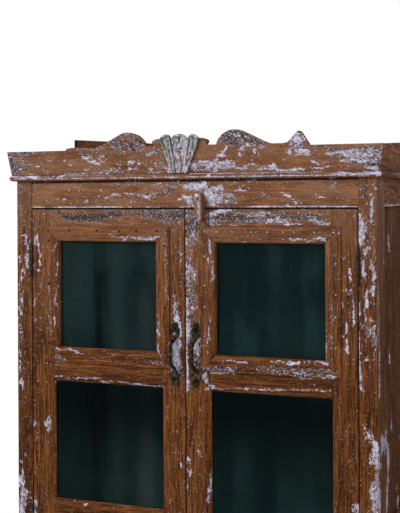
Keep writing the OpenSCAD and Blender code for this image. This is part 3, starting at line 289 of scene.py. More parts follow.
class Graph:
    """A material and short ways to add nodes to it. A value may be a number or another node's output."""

    def __init__(self, name):
        self.material = bpy.data.materials.new(name)
        self.material.use_nodes = True
        self.tree = self.material.node_tree
        self.shader = self.tree.nodes["Principled BSDF"]

    def put(self, socket, value):
        if isinstance(value, bpy.types.NodeSocket):
            self.tree.links.new(value, socket)
        else:
            socket.default_value = value

    def add(self, kind, inputs, output=0, **settings):
        made = self.tree.nodes.new(kind)
        for key, value in settings.items():
            setattr(made, key, value)
        for key, value in inputs.items():
            self.put(made.inputs[key], value)
        return made.outputs[output]

    def math(self, operation, a, b=0.0):
        return self.add("ShaderNodeMath", {0: a, 1: b}, operation=operation)

    def times(self, a, b):
        return self.math("MULTIPLY", a, b)

    def plus(self, a, b):
        return self.math("ADD", a, b)

    def object_place(self):
        return self.add("ShaderNodeTexCoord", {}, "Object")

    def stretched(self, vector, scale):
        return self.add("ShaderNodeMapping", {"Vector": vector, "Scale": scale})

    def noise(self, vector, scale, detail=4.0, roughness=0.55, distortion=0.0):
        inputs = {
            "Vector": vector, "Scale": scale, "Detail": detail,
            "Roughness": roughness, "Distortion": distortion,
        }
        return self.add("ShaderNodeTexNoise", inputs)

    def smooth(self, value, low, high, start=0.0, end=1.0):
        inputs = {"Value": value, "From Min": low, "From Max": high, "To Min": start, "To Max": end}
        return self.add("ShaderNodeMapRange", inputs, interpolation_type="SMOOTHSTEP")

    def ramp(self, value, stops):
        made = self.tree.nodes.new("ShaderNodeValToRGB")
        made.color_ramp.elements[0].position = stops[0][0]
        made.color_ramp.elements[0].color = stops[0][1]
        made.color_ramp.elements[1].position = stops[-1][0]
        made.color_ramp.elements[1].color = stops[-1][1]
        for place, colour in stops[1:-1]:
            made.color_ramp.elements.new(place).color = colour
        self.put(made.inputs[0], value)
        return made.outputs[0]

    def mix(self, amount, a, b, blend="MIX"):
        inputs = {0: amount, 6: a, 7: b}
        return self.add("ShaderNodeMix", inputs, 2, data_type="RGBA", blend_type=blend)

    def over(self, colour, value, low, high, most, top):
        """Lays a colour over another as a value goes from low to high, up to the share most."""
        return self.mix(self.smooth(value, low, high, 0.0, most), colour, top)

    def attribute(self, name):
        colour = self.add("ShaderNodeAttribute", {}, "Color", attribute_name=name)
        made = self.tree.nodes.new("ShaderNodeSeparateColor")
        self.put(made.inputs[0], colour)
        alpha = self.add("ShaderNodeAttribute", {}, "Alpha", attribute_name=name)
        return made.outputs[0], made.outputs[1], made.outputs[2], alpha

    def finish(self, colour, roughness, height=None, strength=0.4, distance=0.0008):
        self.put(self.shader.inputs["Base Color"], colour)
        self.put(self.shader.inputs["Roughness"], roughness)
        if height is not None:
            inputs = {"Strength": strength, "Distance": distance, "Height": height}
            self.put(self.shader.inputs["Normal"], self.add("ShaderNodeBump", inputs))
        return self.material


# How much the texture is drawn out along each grain direction
ALONG = {"x": (0.06, 1, 1), "y": (1, 0.06, 1), "z": (1, 1, 0.06)}
# Height over which dust has settled on the upper part
DUST_LOW = DOOR_TOP - 0.40
DUST_HIGH = DOOR_TOP + 0.06
DUST_SHARES = [(0.0, 0.03), (0.60, 0.15), (0.80, 0.30), (1.0, 0.40)]
# How far a board's own number moves it through the texture, along x, y and z
BOARD_SHIFT = (5.0, 3.0, 7.0)


def wood(name, axis, dark=0.0, dusty=1.0):
    """Worn wood whose grain runs along an axis, with a share of the dust that lies on the upper part.
    The attribute wear holds paint, grey, dirt with painted shade in it, and lightness, and board a number
    of each board's own."""
    g = Graph(name)
    paint, grey, dirt, lightness = g.attribute("wear")
    board = g.add("ShaderNodeAttribute", {}, "Fac", attribute_name="board")
    own_place = g.object_place()
    shift = g.add("ShaderNodeCombineXYZ", {i: g.times(board, v) for i, v in enumerate(BOARD_SHIFT)})
    place = g.add("ShaderNodeVectorMath", {0: own_place, 1: shift}, operation="ADD")
    along = ALONG[axis]
    grain_place = g.stretched(place, along)
    half_place = g.stretched(place, tuple(math.sqrt(v) for v in along))
    flake_place = g.stretched(place, tuple(v ** 0.3 for v in along))
    speck_place = g.stretched(place, tuple(v ** 0.15 for v in along))

    streak = g.noise(grain_place, 170, 8, 0.72, 0.5)
    band = g.noise(grain_place, 40, 4, 0.6, 0.8)
    fine = g.noise(grain_place, 430, 3, 0.7)
    blotch = g.noise(half_place, 12, 6, 0.65)
    patchy = g.noise(half_place, 40, 8, 0.75)
    speck = g.noise(speck_place, 290, 4, 0.75)
    tiny = g.noise(flake_place, 520, 2, 0.6)
    chip = g.noise(flake_place, 62, 9, 0.74)

    colour = g.ramp(g.plus(g.times(streak, 0.72), g.times(band, 0.28)), [
        (0.42, rgb(58, 29, 12)),
        (0.475, rgb(83, 43, 17)),
        (0.525, rgb(108, 61, 25)),
        (0.585, rgb(144, 87, 41)),
    ])
    colour = g.over(colour, blotch, 0.50, 0.66, 0.45, rgb(82, 40, 17))
    colour = g.over(colour, blotch, 0.46, 0.32, 0.5, rgb(132, 80, 32))
    colour = g.over(colour, fine, 0.47, 0.36, 0.7, rgb(40, 21, 10))
    colour = g.over(colour, fine, 0.54, 0.64, 0.4, rgb(172, 112, 58))
    up = g.add("ShaderNodeSeparateXYZ", {0: own_place}, 2)
    settled = g.add("ShaderNodeMapRange", {"Value": up, "From Min": DUST_LOW, "From Max": DUST_HIGH})
    dust = g.ramp(settled, [(at, (v, v, v, 1)) for at, v in DUST_SHARES])
    dust = g.times(dust, g.smooth(patchy, 0.38, 0.60, 0.5 * dusty, 1.4 * dusty))
    colour = g.mix(dust, colour, rgb(157, 119, 95))
    colour = g.over(colour, speck, 0.58, 0.66, 0.5, rgb(178, 148, 126))
    colour = g.mix(dark, colour, rgb(46, 26, 15))
    colour = g.add("ShaderNodeVectorMath", {0: colour, 3: g.times(lightness, 2.0)}, operation="SCALE")

    raised = g.plus(g.math("SUBTRACT", chip, 0.5), g.times(g.math("SUBTRACT", speck, 0.5), 2.0))
    raised = g.plus(raised, g.times(g.math("SUBTRACT", tiny, 0.5), 0.9))

    grey_value = g.plus(g.plus(g.times(speck, 0.5), g.times(tiny, 0.5)), g.times(dirt, -0.03))
    grey_colour = g.ramp(grey_value, [
        (0.45, rgb(34, 30, 30)),
        (0.495, rgb(70, 62, 62)),
        (0.535, rgb(112, 104, 108)),
        (0.575, rgb(170, 164, 178)),
    ])
    grey_mask = g.smooth(g.plus(raised, g.times(grey, 0.72)), 0.30, 0.46, 0.0, 0.9)
    colour = g.mix(grey_mask, colour, grey_colour)

    flake = g.plus(g.plus(raised, g.times(paint, 0.72)), g.times(g.smooth(fine, 0.5, 0.34), -0.04))
    colour = g.over(colour, flake, 0.29, 0.38, 0.5, rgb(108, 88, 80))
    paint_mask = g.smooth(flake, 0.37, 0.43, 0.0, 0.97)
    paint_value = g.plus(g.times(chip, 0.5), g.times(g.noise(place, 130, 5, 0.7), 0.5))
    paint_colour = g.ramp(paint_value, [
        (0.42, rgb(134, 130, 146)),
        (0.50, rgb(172, 169, 190)),
        (0.58, rgb(210, 209, 232)),
    ])
    pits = g.plus(g.times(speck, 0.5), g.times(tiny, 0.5))
    paint_colour = g.over(paint_colour, pits, 0.475, 0.43, 0.8, rgb(92, 74, 68))
    colour = g.mix(paint_mask, colour, paint_colour)

    # Dirt and painted shade, laid on in one dark colour: the dirt channel also carries the shade lists
    dirt_and_shade_mask = g.smooth(g.plus(g.times(speck, 0.5), g.times(dirt, 0.8)), 0.55, 0.95, 0.0, 0.9)
    dirt_and_shade_mask = g.times(dirt_and_shade_mask, g.smooth(grey_mask, 0.0, 0.9, 1.0, 0.1))
    colour = g.mix(dirt_and_shade_mask, colour, rgb(30, 19, 13))

    rough = g.plus(g.times(paint_mask, 0.12), g.smooth(streak, 0.3, 0.7, 0.82, 0.68))
    height = g.plus(g.times(fine, 0.5), g.times(streak, 0.35))
    height = g.plus(height, g.times(paint_mask, 0.6))
    height = g.plus(height, g.times(speck, 0.35))
    g.shader.inputs["Specular IOR Level"].default_value = 0.03
    return g.finish(colour, rough, height, 0.6, 0.0008)


def interior_paint():
    """Dull dark teal paint with dust on it."""
    g = Graph("interior_paint")
    place = g.object_place()
    blotch = g.noise(g.stretched(place, (1, 1, 0.3)), 7, 6, 0.65)
    speck = g.noise(place, 260, 4, 0.7)
    colour = g.ramp(blotch, [
        (0.30, rgb(30, 76, 80)),
        (0.50, rgb(42, 94, 96)),
        (0.70, rgb(58, 106, 106)),
    ])
    colour = g.over(colour, speck, 0.60, 0.75, 0.4, rgb(84, 82, 74))
    brush = g.noise(g.stretched(place, (1, 1, 0.08)), 300, 3, 0.6)
    return g.finish(colour, g.smooth(blotch, 0.3, 0.7, 0.78, 0.6), g.plus(brush, speck), 0.25)


# Painted reflections: soft upright bands in the glass, where it lets less light through and takes a paler
# tint: place across in metres, half the width, and strength, a band below zero being darker
PAINTED_REFLECTION_BANDS = [
    (-0.107, 0.045, 0.034), (-0.172, 0.035, 0.018), (-0.229, 0.035, -0.04), (0.25, 0.06, 0.01),
]
LEAST_VEIL = 0.008
GLASS_IOR = 1.28


def old_glass():
    """Old sheet glass, a little rippled, with a cold tint and upright bands of painted reflection. It is
    milkiest above the first mid rail, and clearest just under it, which paints the rail's shade there.
    """
    g = Graph("glass")
    place = g.object_place()
    ripple = g.noise(g.stretched(place, (1, 1, 0.35)), 9, 2, 0.4)
    streaks = g.noise(g.stretched(place, (1, 1, 0.07)), 16, 4, 0.6)
    dust = g.plus(g.times(streaks, 0.6), g.times(g.noise(place, 9, 4, 0.6), 0.4))
    tint = g.ramp(dust, [(0.35, rgb(92, 154, 158)), (0.62, rgb(106, 156, 154))])
    split = g.tree.nodes.new("ShaderNodeSeparateXYZ")
    g.put(split.inputs[0], place)
    bands = 0.0
    for middle, half_width, strength in PAINTED_REFLECTION_BANDS:
        away = g.math("ABSOLUTE", g.plus(split.outputs[0], -middle))
        bands = g.plus(bands, g.smooth(away, half_width, 0.0, 0.0, strength))
    bands = g.times(bands, g.smooth(split.outputs[2], DOOR_TOP - 0.12, DOOR_TOP - 0.30, 0.35, 1.0))
    bands = g.times(bands, g.smooth(g.noise(place, 11, 3, 0.6), 0.35, 0.6, 0.6, 1.15))
    # Painted reflection: the bands also take a paler tint
    tint = g.mix(g.smooth(bands, 0.0, 0.03), tint, rgb(136, 162, 162))
    veil = g.plus(g.smooth(dust, 0.43, 0.59, 0.024, 0.058), bands)
    veil = g.math("MAXIMUM", veil, LEAST_VEIL)
    # Painted shade of the first mid rail: the veil thins to a tenth just under the rail, so the glass
    # shows dark there, and comes back to three quarters further down
    clear = g.smooth(split.outputs[2], DOOR_TOP - 0.42, DOOR_TOP - 0.40, 0.1, 1.0)
    lower = g.smooth(split.outputs[2], DOOR_TOP - 0.45, DOOR_TOP - 0.65, 0.1, 0.75)
    clear = g.math("MAXIMUM", clear, lower)
    veil = g.times(veil, clear)
    g.shader.inputs["IOR"].default_value = GLASS_IOR
    g.put(g.shader.inputs["Transmission Weight"], g.math("SUBTRACT", 1.0, veil))
    return g.finish(tint, 0.03, ripple, 0.05, 0.002)


def metal(name, low, mid, high, rust, rust_amount, polish_and_highlight, metallic=0.7):
    """Old metal in three tones, with rust in its hollows and its ridges lighter, partly rubbed bright and
    partly a painted highlight.
    """
    g = Graph(name)
    place = g.object_place()
    tone = g.noise(place, 110, 6, 0.68)
    speck = g.noise(place, 420, 5, 0.7)
    colour = g.ramp(tone, [(0.34, low), (0.50, mid), (0.66, high)])
    rust_mask = g.smooth(speck, 0.62 - rust_amount * 0.2, 0.72, 0.0, rust_amount)
    colour = g.mix(rust_mask, colour, rust)
    ridge = g.add("ShaderNodeNewGeometry", {}, "Pointiness")
    # Painted highlight, together with rubbed wear: ridges take the light tone
    colour = g.over(colour, ridge, 0.53, 0.62, polish_and_highlight, high)
    colour = g.over(colour, ridge, 0.48, 0.42, 0.8, rgb(16, 13, 10))
    g.shader.inputs["Metallic"].default_value = metallic
    rough = g.plus(g.smooth(tone, 0.35, 0.65, 0.52, 0.34), g.times(rust_mask, 0.25))
    return g.finish(colour, rough, g.plus(g.times(tone, 0.8), g.times(speck, 0.5)), 0.35, 0.0006)


def nail_steel():
    """A nail's head, with a painted highlight where it faces the front and painted shade round its edge.
    """
    g = Graph("nail_steel")
    place = g.object_place()
    facing = g.add("ShaderNodeSeparateXYZ", {0: g.add("ShaderNodeTexCoord", {}, "Normal")}, 1)
    speck = g.noise(place, 600, 3, 0.6)
    # Painted highlight: the head is speckled pale
    colour = g.ramp(speck, [(0.40, rgb(96, 86, 80)), (0.56, rgb(214, 208, 210))])
    # Painted shade: faces turned away from the front go dark
    colour = g.over(colour, facing, -0.95, -0.6, 1.0, rgb(26, 20, 17))
    return g.finish(colour, 0.6, speck, 0.3)


def shell_paint():
    """Paint on the shell. The attribute shell holds mint, red marks, bare rims, and dirt with painted
    shade in it.
    """
    g = Graph("shell_paint")
    mint, red, rim, dirt = g.attribute("shell")
    place = g.object_place()
    speck = g.noise(place, 300, 4, 0.75)
    flake = g.noise(g.stretched(place, (1, 1, 0.5)), 150, 6, 0.7)
    white = g.ramp(flake, [
        (0.40, rgb(96, 92, 98)),
        (0.49, rgb(148, 145, 154)),
        (0.58, rgb(198, 196, 210)),
    ])
    green = g.ramp(flake, [
        (0.40, rgb(66, 76, 68)),
        (0.50, rgb(106, 124, 116)),
        (0.60, rgb(146, 170, 162)),
    ])
    colour = g.mix(mint, white, green)
    worn_off = g.smooth(g.plus(g.times(speck, 0.7), g.times(flake, 0.3)), 0.485, 0.43, 0.0, 0.8)
    colour = g.mix(worn_off, colour, rgb(84, 62, 50))
    rim_mask = g.smooth(g.plus(rim, g.times(speck, 1.6)), 1.15, 1.4, 0.0, 0.85)
    colour = g.mix(rim_mask, colour, rgb(206, 200, 208))
    red_mask = g.smooth(g.plus(red, g.times(speck, 0.5)), 0.78, 0.98, 0.0, 0.92)
    colour = g.mix(red_mask, colour, rgb(128, 44, 40))
    # Dirt and painted shade, laid on in one dark colour
    dirt_and_shade_mask = g.smooth(g.plus(dirt, g.times(speck, 0.6)), 0.70, 1.1, 0.0, 0.9)
    colour = g.mix(dirt_and_shade_mask, colour, rgb(48, 38, 32))
    return g.finish(colour, 0.8, g.plus(flake, speck), 0.5)


WOOD = {axis: wood("worn_wood_" + axis, axis, dusty=0.25 if axis == "y" else 1.0) for axis in "xyz"}
DARK_WOOD = {axis: wood("dark_wood_" + axis, axis, 0.45, 0.2) for axis in "xyz"}
INTERIOR = interior_paint()
GLASS = old_glass()
# Tones from dark to light, then rust, its amount, how far the ridges go light (rubbed bright and painted
# highlight) and how metallic it is
IRON = metal(
    "forged_iron", rgb(22, 19, 15), rgb(40, 36, 29), rgb(136, 124, 104), rgb(44, 31, 20), 0.45, 0.95,
)
STEEL = metal(
    "old_steel", rgb(14, 12, 11), rgb(31, 27, 25), rgb(118, 110, 108), rgb(54, 34, 23), 0.5, 0.1,
)
SCREW = metal(
    "black_screw", rgb(10, 9, 8), rgb(20, 18, 15), rgb(60, 54, 46), rgb(30, 22, 15), 0.4, 0.3,
)
NAIL_PAINTED_LIGHT = nail_steel()
BROWN_NAIL = metal(
    "brown_nail", rgb(50, 38, 31), rgb(86, 70, 60), rgb(140, 122, 110), rgb(92, 60, 40), 0.5, 0.3, 0.2,
)
SHELL = shell_paint()


def linked(name, mesh, material):
    """A new object in the scene with one material."""
    mesh.materials.clear()
    mesh.materials.append(material)
    made = bpy.data.objects.new(name, mesh)
    bpy.context.scene.collection.objects.link(made)
    return made


def stands_for(piece, *nodes):
    """The piece rides as the CAD nodes that it replaces do, and they are hidden."""
    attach(piece, BODY_OF[nodes[0]])
    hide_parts(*nodes)
    return piece


def cad_mesh(node):
    """A CAD node's mesh to edit, with its doubled vertices joined."""
    bm = bmesh.new()
    bm.from_mesh(frame["nodes"][node].data)
    bmesh.ops.remove_doubles(bm, verts=bm.verts, dist=1e-6)
    return bm


def as_mesh(bm, name):
    """A new mesh from an edited one, which is freed."""
    mesh = bpy.data.meshes.new(name)
    bm.to_mesh(mesh)
    bm.free()
    return mesh


def store(mesh, name, columns):
    """Keeps four values for each vertex, from 0 to 1, as a colour attribute."""
    layer = mesh.attributes.new(name, "FLOAT_COLOR", "POINT")
    values = np.clip(np.stack(columns, 1), 0, 1).astype(np.float32)
    layer.data.foreach_set("color", values.ravel())


def seed_of(name):
    """A steady number from 0 to 1 for a name."""
    return (zlib.crc32(name.encode()) % 1000) / 1000


def lattice(bm, low, high, cell, rim):
    """Cuts a mesh into cells of about the size given, with one more cut near each side of its box."""
    counts = [max(1, round((high[axis] - low[axis]) / cell[axis])) for axis in range(3)]
    for axis in sorted(range(3), key=lambda i: -counts[i]):
        length = high[axis] - low[axis]
        cuts = [low[axis] + length * i / counts[axis] for i in range(1, counts[axis])]
        if length > 4 * rim:
            cuts += [low[axis] + rim, high[axis] - rim]
        normal = [0, 0, 0]
        normal[axis] = 1
        for cut in cuts:
            place = [0, 0, 0]
            place[axis] = cut
            geometry = bm.verts[:] + bm.edges[:] + bm.faces[:]
            bmesh.ops.bisect_plane(bm, geom=geometry, plane_co=place, plane_no=normal, dist=1e-6)


def in_order(elements, place):
    """Orders parts of a mesh by place, because cuts and bevels leave them in a chance order."""
    for number, element in enumerate(sorted(elements, key=place)):
        element.index = number
    elements.sort()


def lumps(points, size, seed):
    """Steady noise from 0 to 1 at points, with features of about the size given."""
    total = np.zeros(len(points))
    for octave in range(3):
        spots = points * 2.1 ** octave / size + np.array([31.7, 17.3, 11.9]) * (seed + octave + 1)
        cell = np.floor(spots).astype(np.int64)
        part = spots - cell
        part = part * part * (3 - 2 * part)
        for corner in range(8):
            step = np.array([corner & 1, corner >> 1 & 1, corner >> 2])
            key = (cell + step) @ np.array([73856093, 19349663, 83492791])
            key = (key ^ (key >> 13)) * 1274126177 & 0xFFFFFFFF
            key = (key ^ (key >> 16)) * 2246822519 & 0xFFFFFFFF
            share = np.prod(np.where(step, part, 1 - part), axis=1)
            total += share * (((key >> 12) & 0xFFFF) / 65535 - 0.5) * 0.5 ** octave
    return np.clip(0.5 + total, 0, 1)


# A patch ends at this many of its radii, and fades over the other number of them
PATCH_END = 1.4
PATCH_SOFT = 0.9
ARRIS_RADIUS = 1.3


def cover(across, z, patches, least):
    """How strongly the patches cover each point, from its place across and its height. No patch is
    narrower than the least radius, all in metres from the middle and the floor."""
    total = np.zeros(len(z))
    across = across / MM
    up = (z - DOOR_TOP) / MM
    for x0, z0, x1, z1, radius, percent in patches:
        run_x, run_z = x1 - x0, z1 - z0
        share = ((across - x0) * run_x + (up - z0) * run_z) / max(run_x ** 2 + run_z ** 2, 1)
        share = np.clip(share, 0, 1)
        away = np.hypot(across - x0 - share * run_x, up - z0 - share * run_z)
        reach = max(radius, least / MM)
        fall = np.clip((PATCH_END * reach - away) / (PATCH_SOFT * reach), 0, 1)
        total = np.maximum(total, percent / 100 * fall)
    return total


def along_arris(node, lines):
    """Thin lines of paint as patches, at heights above a node's foot."""
    foot = (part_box(node)[0].z - DOOR_TOP) / MM
    return [(x0, foot + rise, x1, foot + rise, ARRIS_RADIUS, share) for x0, x1, rise, share in lines]


def corner_share(bm):
    """For each vertex, 0 on a flat face and 1 on a sharp edge."""
    share = np.zeros(len(bm.verts))
    for i, v in enumerate(bm.verts):
        least = min((f.normal.dot(v.normal) for f in v.link_faces), default=1.0)
        share[i] = min(1.0, max(0.0, (1 - least) / 0.12))
    return share


def loose_parts(bm):
    """The faces of each loose part of a mesh."""
    left = set(bm.faces)
    parts = []
    while left:
        part = [left.pop()]
        for face in part:
            for near in {f for e in face.edges for f in e.link_faces} & left:
                left.remove(near)
                part.append(near)
        parts.append(part)
    return parts


def stands(part):
    """Whether a loose part is taller than it is wide."""
    corners = [v.co for f in part for v in f.verts]
    tall = max(c.z for c in corners) - min(c.z for c in corners)
    return tall > max(c.x for c in corners) - min(c.x for c in corners)


def marks_at(node, radius, percent):
    """A round patch at each loose part of a CAD node, such as a row of nails."""
    bm = cad_mesh(node)
    patches = []
    for part in loose_parts(bm):
        corners = {v for f in part for v in f.verts}
        x = sum(v.co.x for v in corners) / len(corners) / MM
        z = (sum(v.co.z for v in corners) / len(corners) - DOOR_TOP) / MM
        patches.append((x, z, x, z, radius, percent))
    bm.free()
    return sorted(patches)


# Edges sharper and longer than this are eased
SHARP_ANGLE = math.radians(35)
SHORTEST_EASED = 8 * MM
# Sizes of the unevenness, and how far in mm it draws the patches aside
BROAD_SIZE = 90 * MM
CLOSE_SIZE = 22 * MM
SMALL_SIZE = 9 * MM
DRIFT_MM = 7
# Patches of the front reach this far behind its face
FRONT_DEPTH = 12 * MM
# Heights between which the wood gets paler and stray flecks of paint become common
WORN_LOW = DOOR_TOP - 0.28
WORN_HIGH = DOOR_TOP + 0.02
# Below the part that the photograph shows, remnants of paint lie by chance
REMNANTS_TOP = DOOR_TOP - 0.44
REMNANTS_FADE = 60 * MM
REMNANT_SIZE = 30 * MM
REMNANT_STRENGTH = 0.7
REMNANT_LEAST = 0.655
REMNANT_SOFT = 0.09


def worn(
    node, grain, look=None, bevel=0.9 * MM, long=14 * MM, fine=9 * MM, deep=16 * MM, paint=(), grey=(),
    dirt=(), shade=(), lines=(), side_paint=(), base=0.12, greyness=0.03, wear=0.35 * MM, framed=False,
    light=0.5, side_lines=(),
):
    """A CAD node as worn wood: eased edges, an uneven surface, and an attribute for paint, grey, dirt
    with painted shade in it, and lightness. Its cells are long along the grain, fine across it and deep
    in the third direction. The grain of a framed node follows each of its members."""
    bm = cad_mesh(node)
    bmesh.ops.dissolve_limit(bm, angle_limit=math.radians(0.5), verts=bm.verts, edges=bm.edges)
    sharp = [
        e for e in bm.edges
        if len(e.link_faces) == 2 and e.calc_face_angle(0) > SHARP_ANGLE
        and e.calc_length() > SHORTEST_EASED
    ]
    if bevel:
        bmesh.ops.bevel(
            bm, geom=sharp, offset=bevel, offset_type="OFFSET", segments=2, profile=0.6,
            affect="EDGES", clamp_overlap=True,
        )
    low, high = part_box(node)
    depth_axis = "x" if grain == "y" else "y"
    cell = [long if axis == grain else deep if axis == depth_axis else fine for axis in "xyz"]
    lattice(bm, low, high, cell, max(bevel * 2.5, 2.2 * MM))
    bm.normal_update()
    in_order(bm.verts, lambda v: v.co.to_tuple(7))
    in_order(bm.faces, lambda f: f.calc_center_median().to_tuple(7) + f.normal.to_tuple(3))
    bm.verts.ensure_lookup_table()
    points = np.array([v.co for v in bm.verts])
    normals = np.array([v.normal for v in bm.verts])
    corner = corner_share(bm)
    seed = seed_of(node)
    broad = lumps(points, BROAD_SIZE, seed)
    close = lumps(points, CLOSE_SIZE, seed + 0.5)
    small = lumps(points, SMALL_SIZE, seed + 0.8)
    front = (normals[:, 1] < -0.35) & (points[:, 1] < FACE_Y + FRONT_DEPTH)
    right = (normals[:, 0] > 0.5) & (points[:, 0] > 0)
    x, y, z = points[:, 0], points[:, 1] - FACE_Y, points[:, 2]
    drift = (small - 0.5) * DRIFT_MM * MM
    least = 0.6 * fine
    grime = front * cover(x + drift, z, dirt, least)
    high = np.clip((z - WORN_LOW) / (WORN_HIGH - WORN_LOW), 0, 1)
    paint_amount = base * (0.1 + 0.9 * high) * (0.35 + 1.3 * broad) + 0.12 * corner * close
    paint_amount += front * cover(x + drift, z + drift, paint, least) + front * cover(x, z, lines, least)
    on_side = right * cover(y, z + drift, side_paint, 0.6 * deep)
    paint_amount += on_side + right * cover(y, z, side_lines, 0.6 * fine)
    paint_amount -= 0.5 * grime
    if bevel:
        drawn = points * np.array([0.25 if axis == grain else 1 for axis in "xyz"])
        spread = 0.65 * lumps(drawn, REMNANT_SIZE, seed + 0.3) + 0.35 * close
        below = np.clip((REMNANTS_TOP - z) / REMNANTS_FADE, 0, 1) * (front | right)
        left = np.clip((spread - REMNANT_LEAST) / REMNANT_SOFT, 0, 1)
        paint_amount += REMNANT_STRENGTH * below * left
    grey_amount = greyness * (0.3 + 1.6 * broad) + front * cover(x + drift, z, grey, least)
    grey_amount = np.maximum(grey_amount, grime)
    # Darker along sharp edges and in corners, in random spots and under the dirt patches
    dirt_and_shade_amount = 0.5 * corner * close + 0.2 * np.clip(close - 0.55, 0, 1) + grime
    # Painted shade from the shade lists: under the bead, on the crest batten, in the gaps round the
    # doors, in a nail hole and beside the right pull; the same list also carries the dark stains round
    # the strips' nails
    dirt_and_shade_amount += front * cover(x, z, shade, least)
    depth = wear * (0.25 * close + corner * np.clip(small * 2 - 0.7, 0, 1.4))
    for v, place in zip(bm.verts, points - normals * depth[:, None]):
        v.co = place
    for f in bm.faces:
        f.smooth = True
    turned = np.zeros(len(bm.faces), np.int32)
    if framed:
        bm.faces.index_update()
        turned[[f.index for part in loose_parts(bm) if stands(part) for f in part]] = 1
    mesh = as_mesh(bm, node + "_worn")
    mesh.set_sharp_from_angle(angle=math.radians(40))
    own_light = (light + 0.06 * (seed - 0.5)) * (0.9 + 0.1 * high)
    store(mesh, "wear", [paint_amount, grey_amount, dirt_and_shade_amount, own_light])
    board = mesh.attributes.new("board", "FLOAT", "POINT")
    board.data.foreach_set("value", np.full(len(points), seed, np.float32))
    piece = linked(node + "_worn", mesh, look or WOOD[grain])
    if framed:
        mesh.materials.append(WOOD["z"])
        mesh.polygons.foreach_set("material_index", turned)
    return stands_for(piece, node)


def baked(piece):
    """Applies the modifiers of a piece."""
    graph = bpy.context.evaluated_depsgraph_get()
    mesh = bpy.data.meshes.new_from_object(piece.evaluated_get(graph))
    piece.modifiers.clear()
    piece.data = mesh
    return piece


def remeshed(piece, voxel, rounds):
    """Joins what overlaps in a piece into one skin and smooths it."""
    join = piece.modifiers.new("join", "REMESH")
    join.mode = "VOXEL"
    join.voxel_size = voxel
    join.use_smooth_shade = True
    soften = piece.modifiers.new("soften", "SMOOTH")
    soften.factor = 0.5
    soften.iterations = rounds
    return baked(piece)


def roughened(piece, sizes):
    """Pushes a piece's vertices inwards by steady noise: pairs of feature size and depth."""
    mesh = piece.data
    points = np.array([v.co for v in mesh.vertices])
    normals = np.array([v.normal for v in mesh.vertices])
    seed = seed_of(piece.name)
    for size, depth in sizes:
        points = points - normals * (lumps(points, size, seed) * depth)[:, None]
    mesh.vertices.foreach_set("co", points.astype(np.float32).ravel())
    mesh.update()
    return points


# Lobes of the shell, in mm: place of the foot, lean in degrees, width at the top and height
LOBES = [(0, 4.2, 45, 89.5), (-13, -11.8, 29, 90.5), (13, 18.8, 29, 92)]
LOBE_FOOT_W = 13
SHELL_X = -8
SHELL_T = 8
SHELL_LEAN = math.atan(8 / 57)
SHELL_BACK_Y = -9
# Cells of a lobe's skin across and up, and its form in mm: outer wall, rim, run into the flute
LOBE_CELLS = (33, 61)
ARCH_SHARE = 0.3
WALL_W = 2.2
RIM_W = 3.2
FLUTE_RUN = 3.4
FLUTE_FOOT = 1.8
FLUTE_GAIN = 3.7
# Marks on the shell, from (across, up) to (across, up), with a radius and a percent
SHELL_RED = [
    (6, 50, 10, 50, 1.8, 60), (7, 39, 8, 27, 3, 100), (7, 21, 6, 3, 1.9, 95),
    (-25, 58, -23, 48, 2.2, 80), (-18, 37, -16, 31, 3, 85), (31, 59, 31, 57, 1.8, 60),
    (31, 46, 31, 43, 2.6, 100), (28, 36, 27, 31, 2.8, 100),
]
SHELL_DIRT = [
    (0, 79, 5, 77, 1.5, 90), (5, 77, 2, 69, 1.5, 90), (-4, 57, -1, 55, 1.5, 80),
    (-1, 55, 7, 57, 1.2, 60), (9, 58, 11, 55, 1.5, 80), (2, 49, 8, 47, 1.6, 60),
    (29, 67, 24, 27, 2.5, 35), (-30, 80, -24, 66, 2, 30), (-17, 24, -14, 8, 2.2, 40),
    (-5, 27, -5, 7, 1.6, 40),
]


def shell_place(across, up, out):
    """A place on the shell, in metres, from mm across, up and out of the board that it is on."""
    y = SHELL_BACK_Y - up * math.sin(SHELL_LEAN) - out * math.cos(SHELL_LEAN)
    z = up * math.cos(SHELL_LEAN) - out * math.sin(SHELL_LEAN)
    return ((SHELL_X + across) * MM, FACE_Y + y * MM, CORNICE_Z + z * MM)


def lobe_skin(bm, foot_x, lean, top_w, height):
    """One lobe of the shell: a flute that deepens upwards between raised rims, on a flat back."""
    wide, tall = LOBE_CELLS
    arch = ARCH_SHARE * top_w
    turn = math.radians(lean)
    fronts, backs = [], []
    for j in range(tall):
        t = 0.006 + 0.994 * j / (tall - 1)
        for i in range(wide):
            s = -1 + 2 * i / (wide - 1)
            end = height - arch * (1 - math.sqrt(max(0, 1 - s * s)))
            up = t * end
            half = (LOBE_FOOT_W + (top_w - LOBE_FOOT_W) * up / height) / 2
            edge = min((1 - abs(s)) * half, (1 - t) * end * 0.8 + 0.2)
            wall = min(1, edge / WALL_W)
            run = min(1, max(0, edge - RIM_W) / FLUTE_RUN)
            flute = (FLUTE_FOOT + FLUTE_GAIN * up / height) * run * run * (3 - 2 * run)
            out = SHELL_T * (0.2 + 0.8 * math.sin(math.pi / 2 * wall)) - flute
            across = foot_x + s * half * math.cos(turn) + up * math.sin(turn)
            high = up * math.cos(turn) - s * half * math.sin(turn)
            fronts.append(bm.verts.new(shell_place(across, max(high, 0.5), out)))
            backs.append(bm.verts.new(shell_place(across, max(high, 0.5), 0)))
    for j in range(tall - 1):
        for i in range(wide - 1):
            a = j * wide + i
            quad = (a, a + 1, a + 1 + wide, a + wide)
            bm.faces.new([fronts[k] for k in quad])
            bm.faces.new([backs[k] for k in reversed(quad)])
    ring = list(range(wide)) + [j * wide + wide - 1 for j in range(1, tall)]
    ring += [(tall - 1) * wide + i for i in range(wide - 2, -1, -1)]
    ring += [j * wide for j in range(tall - 2, 0, -1)]
    for a, b in zip(ring, ring[1:] + ring[:1]):
        bm.faces.new((fronts[b], fronts[a], backs[a], backs[b]))


